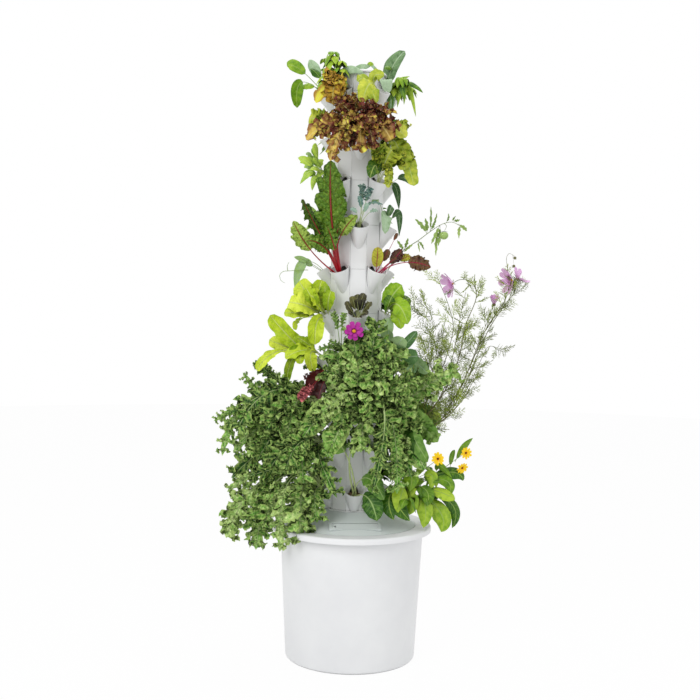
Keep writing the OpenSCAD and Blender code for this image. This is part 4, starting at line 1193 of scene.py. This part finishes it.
# %% Flower heads
def flower(petals, hearts, at, look, size, count, heart, width, open_to, dice, roll=0.0, fallen=None):
    """Petals round a point, all facing along look. open_to is how far their tips lean towards look."""
    look = unit(np.array(turned(look), float))
    east = unit(np.cross(look, np.array([0.1, 0.2, 1.0])))
    north = np.cross(look, east)
    for k in range(count):
        if k == fallen:
            continue
        a = 2 * math.pi * k / count + roll + dice.uniform(-0.08, 0.08)
        way = math.cos(a) * east + math.sin(a) * north
        long = size / 1000 * dice.uniform(0.92, 1.06)
        tip = at + way * long + look * long * (open_to + dice.uniform(-0.08, 0.08))
        mid = at + way * long * 0.5 + look * long * (open_to * 0.3 + 0.06)
        blade(petals, at + way * heart / 2500, mid, tip, width * size / 1000, "petal", 0.0, look,
              dice.uniform(-8, 8), dice.uniform(0.3, 0.7), dice)
    t = np.linspace(0, 1, 6)
    dome = at + look[None] * (heart * 0.55 * np.sin(t * 1.5) / 1000)[:, None]
    tube(hearts, dome, heart / 1000 * np.maximum(np.cos(t * 1.5), 0.08), np.tile(east, (6, 1)),
         np.tile(north, (6, 1)), 12, 0.5)


def bumpy(name, low, high, grain):
    return plastic(name, high, low, 0.6, grain, 500.0, 0.25, cloud=300.0)


yellow_heart = bumpy("pollen", (196, 120, 20), (240, 190, 50), 0.0012)
dark_heart = bumpy("dark disc", (70, 20, 14), (130, 50, 24), 0.001)
print("flowers and their hearts ready")

# %% Zinnia-like flower
dice = random.Random(51)
petals, hearts, green, stems = Growth(), Growth(), Growth(), Growth()
root, head, look = cup(3, -36, 6), seen(-4, 175, 1048), (0.1, -1, 0.25)
stem(stems, [root, *points_of("341 350 130 / 347 340 160"), head], 1.6)
flower(petals, hearts, head, look, 30, 8, 6, 0.52, 0.1, dice, 0.3)
flower(petals, hearts, head + np.array(turned((0, -1, 0))) * 0.002, look, 21, 6, 6, 0.6, 0.25, dice, 0.8)
for mid, tip, width, tone, start in rows_of("""338 330 140 333 313 130 30 .6 .5 /
        338 348 145 317 350 140 30 .3 .25 / 342 350 150 328 340 150 26 .15 .25 /
        342 328 150 345 313 140 26 .4 .5"""):
    leaf(green, stems, root, mid, tip, width, "kale", tone, start, FRONT, 0, 1.6, dice)
zinnia = "pink_zinnia", "zinnia_petal"
petals.mesh("zinnia_petals", petal_finish("magenta petal", (110, 10, 64), (176, 44, 150)), *zinnia)
hearts.mesh("zinnia_heart", yellow_heart, *zinnia)
green.mesh("zinnia_leaves", kale_green, *zinnia)
stems.mesh("zinnia_stem", green_stalk, *zinnia)

# %% Marigolds in the lowest cups
dice = random.Random(52)
petals, hearts, green, stems = Growth(), Growth(), Growth(), Growth()
for path, size, look in (("420 472 60 / 432 464 95 / 438 459 110", 21, (0.1, -1, 0.25)),
                         ("436 474 20 / 455 460 30 / 466 453 40", 20, (0.5, -1, 0.1)),
                         ("436 478 40 / 452 472 50 / 462 468 60", 20, (0.5, -0.9, -0.4))):
    path = points_of(path)
    stem(stems, [cup(0, 72, -6), *path], 1.3)
    for layer, count in ((1.0, 10), (0.78, 8)):
        open_to = 0.12 + 0.2 * (1 - layer)
        flower(petals, hearts, path[-1], look, size * layer, count, 4, 0.4, open_to, dice, layer)
for path, width, form, tone in (("455 462 30 / 463 448 20 / 473 438 20", 20, "lance", 0.5),
                                ("450 468 40 / 452 456 30 / 455 450 30", 16, "basil", 0.3),
                                ("436 474 40 / 440 466 60 / 452 478 70", 24, "basil", 0.4),
                                ("424 474 60 / 430 480 90 / 444 482 100", 16, "basil", 0.35)):
    leaf(green, stems, *points_of(path), width, form, tone, 0.1, FRONT, 0, 1.2, dice)
marigold = "calendula", "calendula_petal"
petals.mesh("marigold_petals", petal_finish("yellow petal", (246, 178, 16), (252, 214, 30)), *marigold)
hearts.mesh("marigold_hearts", dark_heart, *marigold)
green.mesh("marigold_leaves", basil_green, *marigold)
stems.mesh("marigold_stems", green_stalk, *marigold)

# %% [markdown]
# ### Cosmos
# Cosmos has leaves like fine feathers: a thread with pairs of side threads, and those fork again. A card with
# a picture would vanish from the side, so they are real threads, three-sided because they are a millimetre
# thick. The flower stems arch over at the top and hold the flowers looking down and out.

# %% Feathery leaves
STILL = np.zeros(3)


def thread(growth, a, b, thick, bend, tone, points=4):
    t = np.linspace(0, 1, points)[:, None]
    at = a + (b - a) * t + bend * (4 * t * (1 - t))
    direction = unit(np.gradient(at, axis=0))
    side = unit(np.cross(direction, np.array([0.31, 0.22, 0.92])))
    tube(growth, at, thick / 2000 * (1 - 0.6 * t[:, 0]), side, unit(np.cross(side, direction)), 3, tone)


def feather(growth, root, way, long, dice, pairs=6):
    way = unit(way)
    side = unit(np.cross(way, stray(dice, 1, 1, 0.5)))
    bend = -UP * long * dice.uniform(0.0, 0.12)
    tip = root + way * long
    tone = dice.uniform(0.1, 0.9)
    thread(growth, root, tip, 2.4, bend, tone, 6)
    for i in range(pairs):
        t = 0.25 + 0.7 * i / pairs
        base = root + (tip - root) * t + bend * 4 * t * (1 - t)
        for sign in (-1, 1):
            out = unit(way * dice.uniform(0.6, 1.0) + side * sign * dice.uniform(0.6, 1.0)
                       + stray(dice, 0.3, 0.3, 0.3))
            reach = long * 0.42 * (1 - 0.5 * t) * dice.uniform(0.7, 1.2)
            thread(growth, base, base + out * reach, 1.9, STILL, tone)
            for fork in (-1, 1):
                start, turn = base + out * reach * 0.5, unit(out + way * 0.3 + side * fork * 0.7)
                thread(growth, start, start + turn * reach * 0.4, 1.3, STILL, tone, 3)


def ball(growth, at, radius):
    t = np.linspace(0.15, math.pi - 0.15, 7)
    turned_form(growth, at, np.cos(t) * radius, np.sin(t) * radius, 10)


def burst(stems, at, count, long, thick, dice, against=STILL):
    """Short threads all round a point, such as sepals."""
    for _ in range(count):
        thread(stems, at, at + unit(stray(dice, 1, 1, 1) - against) * long, thick, STILL, 0.4)


print("threads and feathers ready")

# %% Cosmos stems and their flowers
dice = random.Random(53)
petals, hearts, threads, stems = Growth(), Growth(), Growth(), Growth()
# Each stem: its places in the picture, which way its flower looks, the flower's size and the stem's radius
COSMOS = (
    ("""420 425 -20 / 440 400 0 / 455 372 20 / 462 346 30 / 465 325 30 / 477 299 30 / 476 287 30 /
     469 280 30 / 460 279 30 / 453 283 30""", (-0.9, -0.35, -0.35), 42, 1.9),
    ("""422 428 -60 / 448 410 -60 / 462 385 -50 / 474 358 -40 / 484 332 -30 / 497 312 -20 / 506 300 -20 /
     508 289 -20 / 511 283 -20 / 512 280 -20""", (-0.85, -0.35, -0.2), 42, 1.9),
    ("""424 430 -90 / 450 414 -100 / 464 388 -90 / 477 356 -80 / 488 330 -70 / 502 308 -60 / 514 294 -60 /
     516 288 -60 / 517 279 -60""", (0.7, -0.35, 0.7), 38, 1.9),
    ("424 432 -40 / 446 416 -40 / 460 392 -40 / 470 365 -50 / 480 340 -60 / 488 320 -60 / 494 304 -60",
     (0.0, -0.5, 1), 16, 1.6),
    ("416 420 -20 / 430 395 -20 / 446 360 -10 / 455 326 0 / 447 300 0 / 440 284 0", None, 0, 1.7),
    ("420 422 10 / 442 398 20 / 452 360 40 / 458 330 50 / 462 306 50 / 466 292 50", None, 0, 1.5),
    ("418 426 -80 / 434 404 -100 / 440 372 -110 / 436 345 -110 / 428 330 -110", None, 0, 1.5),
    ("424 430 30 / 444 420 60 / 462 402 80 / 474 380 80 / 482 364 80", None, 0, 1.5),
    ("424 432 -120 / 446 420 -140 / 462 400 -150 / 480 362 -150 / 488 344 -140 / 502 350 -140",
     None, 0, 1.5))
for path, look, size, thick in COSMOS:
    path = points_of(path)
    head = path[-1]
    at, direction = stem(stems, [cup(1, 108), *path], thick, taper=0.45)
    for i in range(4, len(at) - (5 if look else 0)):
        for _ in range(dice.choice((0, 1, 1, 2)) if i < 0.7 * len(at) else dice.choice((0, 1))):
            way = direction[i] * 0.7 + unit(stray(dice, 1, 1, (-0.3, 0.9)))
            feather(threads, at[i], way, dice.uniform(0.04, 0.085), dice)
    if size > 20:
        flower(petals, hearts, head, look, size, 8, 5, 0.5, 0.6, dice, dice.uniform(0, 1), 3)
        burst(stems, head, 8, 0.011, 2.2, dice, 0.3 * np.array(turned(look)))
    elif look:
        flower(petals, hearts, head, look, size, 8, 5, 0.8, 1.8, dice)
        ball(stems, head - UP * 0.002, 6.5)
print(len(COSMOS), "cosmos stems")

# %% Wisp with two buds, and feathers between the stems
wisp = points_of("508 284 -20 / 508 272 -20 / 506 258 -20 / 509 253 -20 / 513 255 -20")
stem(stems, wisp, 0.9)
for bud in points_of("515 258 -20 / 514 266 -20"):
    thread(stems, wisp[-1], bud, 1.2, STILL, 0.5)
    ball(stems, bud, 5)
    burst(stems, bud, 6, 0.009, 1.6, dice)
for tip in points_of("""424 303 -20 / 430 338 -30 / 438 350 20 / 414 306 30 / 428 362 -60 / 444 336 -90 /
        425 345 60"""):
    foot = seen(250, -20, 917) if tip[2] < 1.06 else seen(260, -20, 1053)
    thread(stems, foot, tip, 1.4, UP * 0.012, 0.4, 6)
    for k in range(5):
        start, way = foot + (tip - foot) * (0.35 + 0.15 * k), tip - foot + stray(dice, 1, 1, 1) * 0.06
        feather(threads, start, way, dice.uniform(0.05, 0.085), dice)
print("wisp and loose feathers added")

# %% Feathers low on the tower's side
dice = random.Random(54)
low, foot = Growth(), seen(228, -30, 741)
for tip in points_of("""404 362 0 / 412 380 20 / 424 392 -20 / 440 386 -40 / 450 398 -30 / 428 350 -10 /
        452 372 30 / 416 402 10 / 438 410 -50"""):
    thread(stems, foot, tip, 1.6, UP * 0.01, 0.4, 6)
    for k in range(4):
        start, way = foot + (tip - foot) * (0.4 + 0.2 * k), (tip - foot) * 0.6 + stray(dice, 1, 1, 1) * 0.05
        feather(low, start, way, dice.uniform(0.045, 0.075), dice)
feather_green = leaf_finish(
    "feathery leaf", (92, 100, 40), (138, 158, 56), (180, 200, 80), (180, 200, 80), vein_share=0.0)
cosmos_stem = stalk_finish("cosmos stem", (116, 104, 62), (112, 124, 74))
cosmos = "cosmos", "cosmos_leaf"
petals.mesh("cosmos_petals", petal_finish("lilac petal", (206, 136, 196), (236, 190, 234)), *cosmos)
hearts.mesh("cosmos_hearts", yellow_heart, *cosmos)
threads.mesh("cosmos_leaves", feather_green, *cosmos, crease=100)
low.mesh("cosmos_low_leaves", feather_green, *cosmos, crease=100)
stems.mesh("cosmos_stems", cosmos_stem, *cosmos)

# %% [markdown]
# ### Tomato vine
# A thin vine reaches out to the right with small toothed leaflets and one green fruit. The fruit is a lathed
# form: a ball that is a little flatter than round and sunk where its calyx sits.

# %% Vine and fruit
dice = random.Random(54)
fruit, green, stems = Growth(), Growth(), Growth()
vine = points_of("""395 260 -20 / 406 248 0 / 418 241 10 / 427 234 10 / 441 224 10 / 453 221 10 /
    464 229 10""")
stem(stems, [cup(5, 108), *vine], 1.7, taper=0.4)
for start, end, width in rows_of("""427 234 10 415 219 10 16 / 427 234 10 425 218 10 14 /
        430 231 10 431 206 10 10 / 430 231 10 434 222 10 11 / 432 229 10 437 213 10 9 /
        440 225 10 431 244 10 13 / 440 225 10 438 246 10 14 / 438 228 10 436 256 10 13 /
        453 221 10 456 216 10 9 / 453 221 10 460 220 10 10 / 458 224 10 467 231 10 14 /
        460 226 10 459 239 10 13 / 404 250 10 397 240 10 13 / 404 250 10 408 238 10 12 /
        418 241 10 424 250 10 9 / 418 241 10 420 252 10 8 / 446 223 10 448 213 10 8 /
        414 243 10 404 252 10 9 / 396 258 10 400 248 10 9"""):
    mid = (start + end) / 2 + stray(dice, 3, 14, (-4, 6)) / 1000
    leaf(green, stems, start, mid, end, width, "tooth", dice.uniform(0.2, 0.9), 0.15, FRONT,
         dice.uniform(-30, 30), 0.8, dice)
middle = seen(276, 12, 1354)
t = np.linspace(0.12, math.pi - 0.05, 15)
turned_form(fruit, middle, np.cos(t) * 13.4 - 3.2 * np.exp(-(t / 0.45) ** 2), np.sin(t) * 14.4, 28)
stem(stems, [*points_of("444 223 10 / 447 226 10"), middle + UP * 0.011], 1.0)
for k in range(5):
    a = k * 1.2566 + 0.3
    way, start = np.array([math.cos(a), math.sin(a), 0]), middle + UP * 0.0108
    leaf(green, stems, start, start + way * 0.007 + UP * 0.0016, start + way * 0.013 + UP * 0.001, 3.4,
         "lance", 0.5, 0.05, UP, 0, 0.5, dice)
tomato = "tomato_vine", "tomato_leaf"
fruit.mesh("tomato_fruit", plastic("green fruit skin", (172, 198, 112), (140, 176, 88), 0.18, 0.00002, 900.0,
                                   0.5, cloud=60.0), *tomato)
green.mesh("tomato_leaves", leaf_finish(
    "tomato leaf", (98, 128, 62), (132, 162, 80), (170, 196, 108), (160, 180, 110)), *tomato)
stems.mesh("tomato_stems", stalk_finish("tomato stem", (120, 136, 80), (132, 150, 88)), *tomato)

# %% [markdown]
# ## The side away from the camera
# The picture doesn't show the back. A real tower is planted all round, so the back cups carry more of the
# same herbs and greens, smaller at the top, each grown from its own dice.

# %% Plants at the back
def ring_of(*plants):
    """For each plant: its cup, its leaves' form, how many, how long and how wide."""
    def fill(blades, stalks, dice):
        for level, around, form, count, long, width in plants:
            for k in range(count):
                root = cup(level, around, dice.uniform(-9, 9))
                a = math.radians(around) + (k / (count - 1) - 0.5) * 2.3 + dice.uniform(-0.2, 0.2)
                way = np.array([math.sin(a), -math.cos(a), 0])
                rise = dice.uniform(0.1, 0.9) if k % 2 else dice.uniform(-0.5, 0.2)
                reach = long / 1000 * dice.uniform(0.75, 1.0)
                tip = root + way * reach * (0.6 + 0.25 * (rise < 0)) + UP * (reach * rise + 0.02)
                mid = (root + tip) / 2 + UP * (0.02 + 0.12 * reach) - way * 0.008
                leaf(blades, stalks, root, mid, tip, width * dice.uniform(0.85, 1.1), form, dice.random(),
                     0.32, None, dice.uniform(-20, 20), 1.8, dice)
    return fill


grow("back_herbs", leaf_finish(
    "back herb leaf", (46, 90, 12), (112, 156, 28), (176, 204, 60), (184, 206, 126), vein_share=0.35),
    green_stalk, "herb_leaf", 61, extra=ring_of(
        (9, 180, "basil", 13, 100, 30), (8, 144, "lettuce", 9, 120, 60), (8, -144, "basil", 13, 105, 28),
        (7, 180, "broad", 10, 115, 40), (6, 144, "basil", 13, 110, 30), (6, -144, "lettuce", 9, 120, 58)))
grow("back_greens", leaf_finish(
    "back green leaf", (38, 80, 10), (98, 144, 26), (166, 196, 54), (176, 200, 120), vein_share=0.35),
    lettuce_stalk, "greens_leaf", 62, extra=ring_of(
        (5, 180, "lettuce", 10, 140, 70), (4, 144, "broad", 10, 140, 54), (4, -144, "lettuce", 10, 140, 70),
        (3, 180, "heart", 10, 150, 64), (2, 144, "lettuce", 10, 150, 74), (2, -144, "kale", 8, 170, 80),
        (1, 180, "kale", 8, 170, 84), (0, 144, "broad", 10, 150, 60), (0, -144, "lettuce", 10, 140, 70)))

# %% [markdown]
# ## Sizes
# The boxes of the bare frame and of the dressed model are printed side by side.

# %% Sizes and finish
dressed_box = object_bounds()
for name, a, b in zip("xyz", zip(*cad_box), zip(*dressed_box)):
    print(name, [round(v, 3) for v in a], "->", [round(v, 3) for v in b])
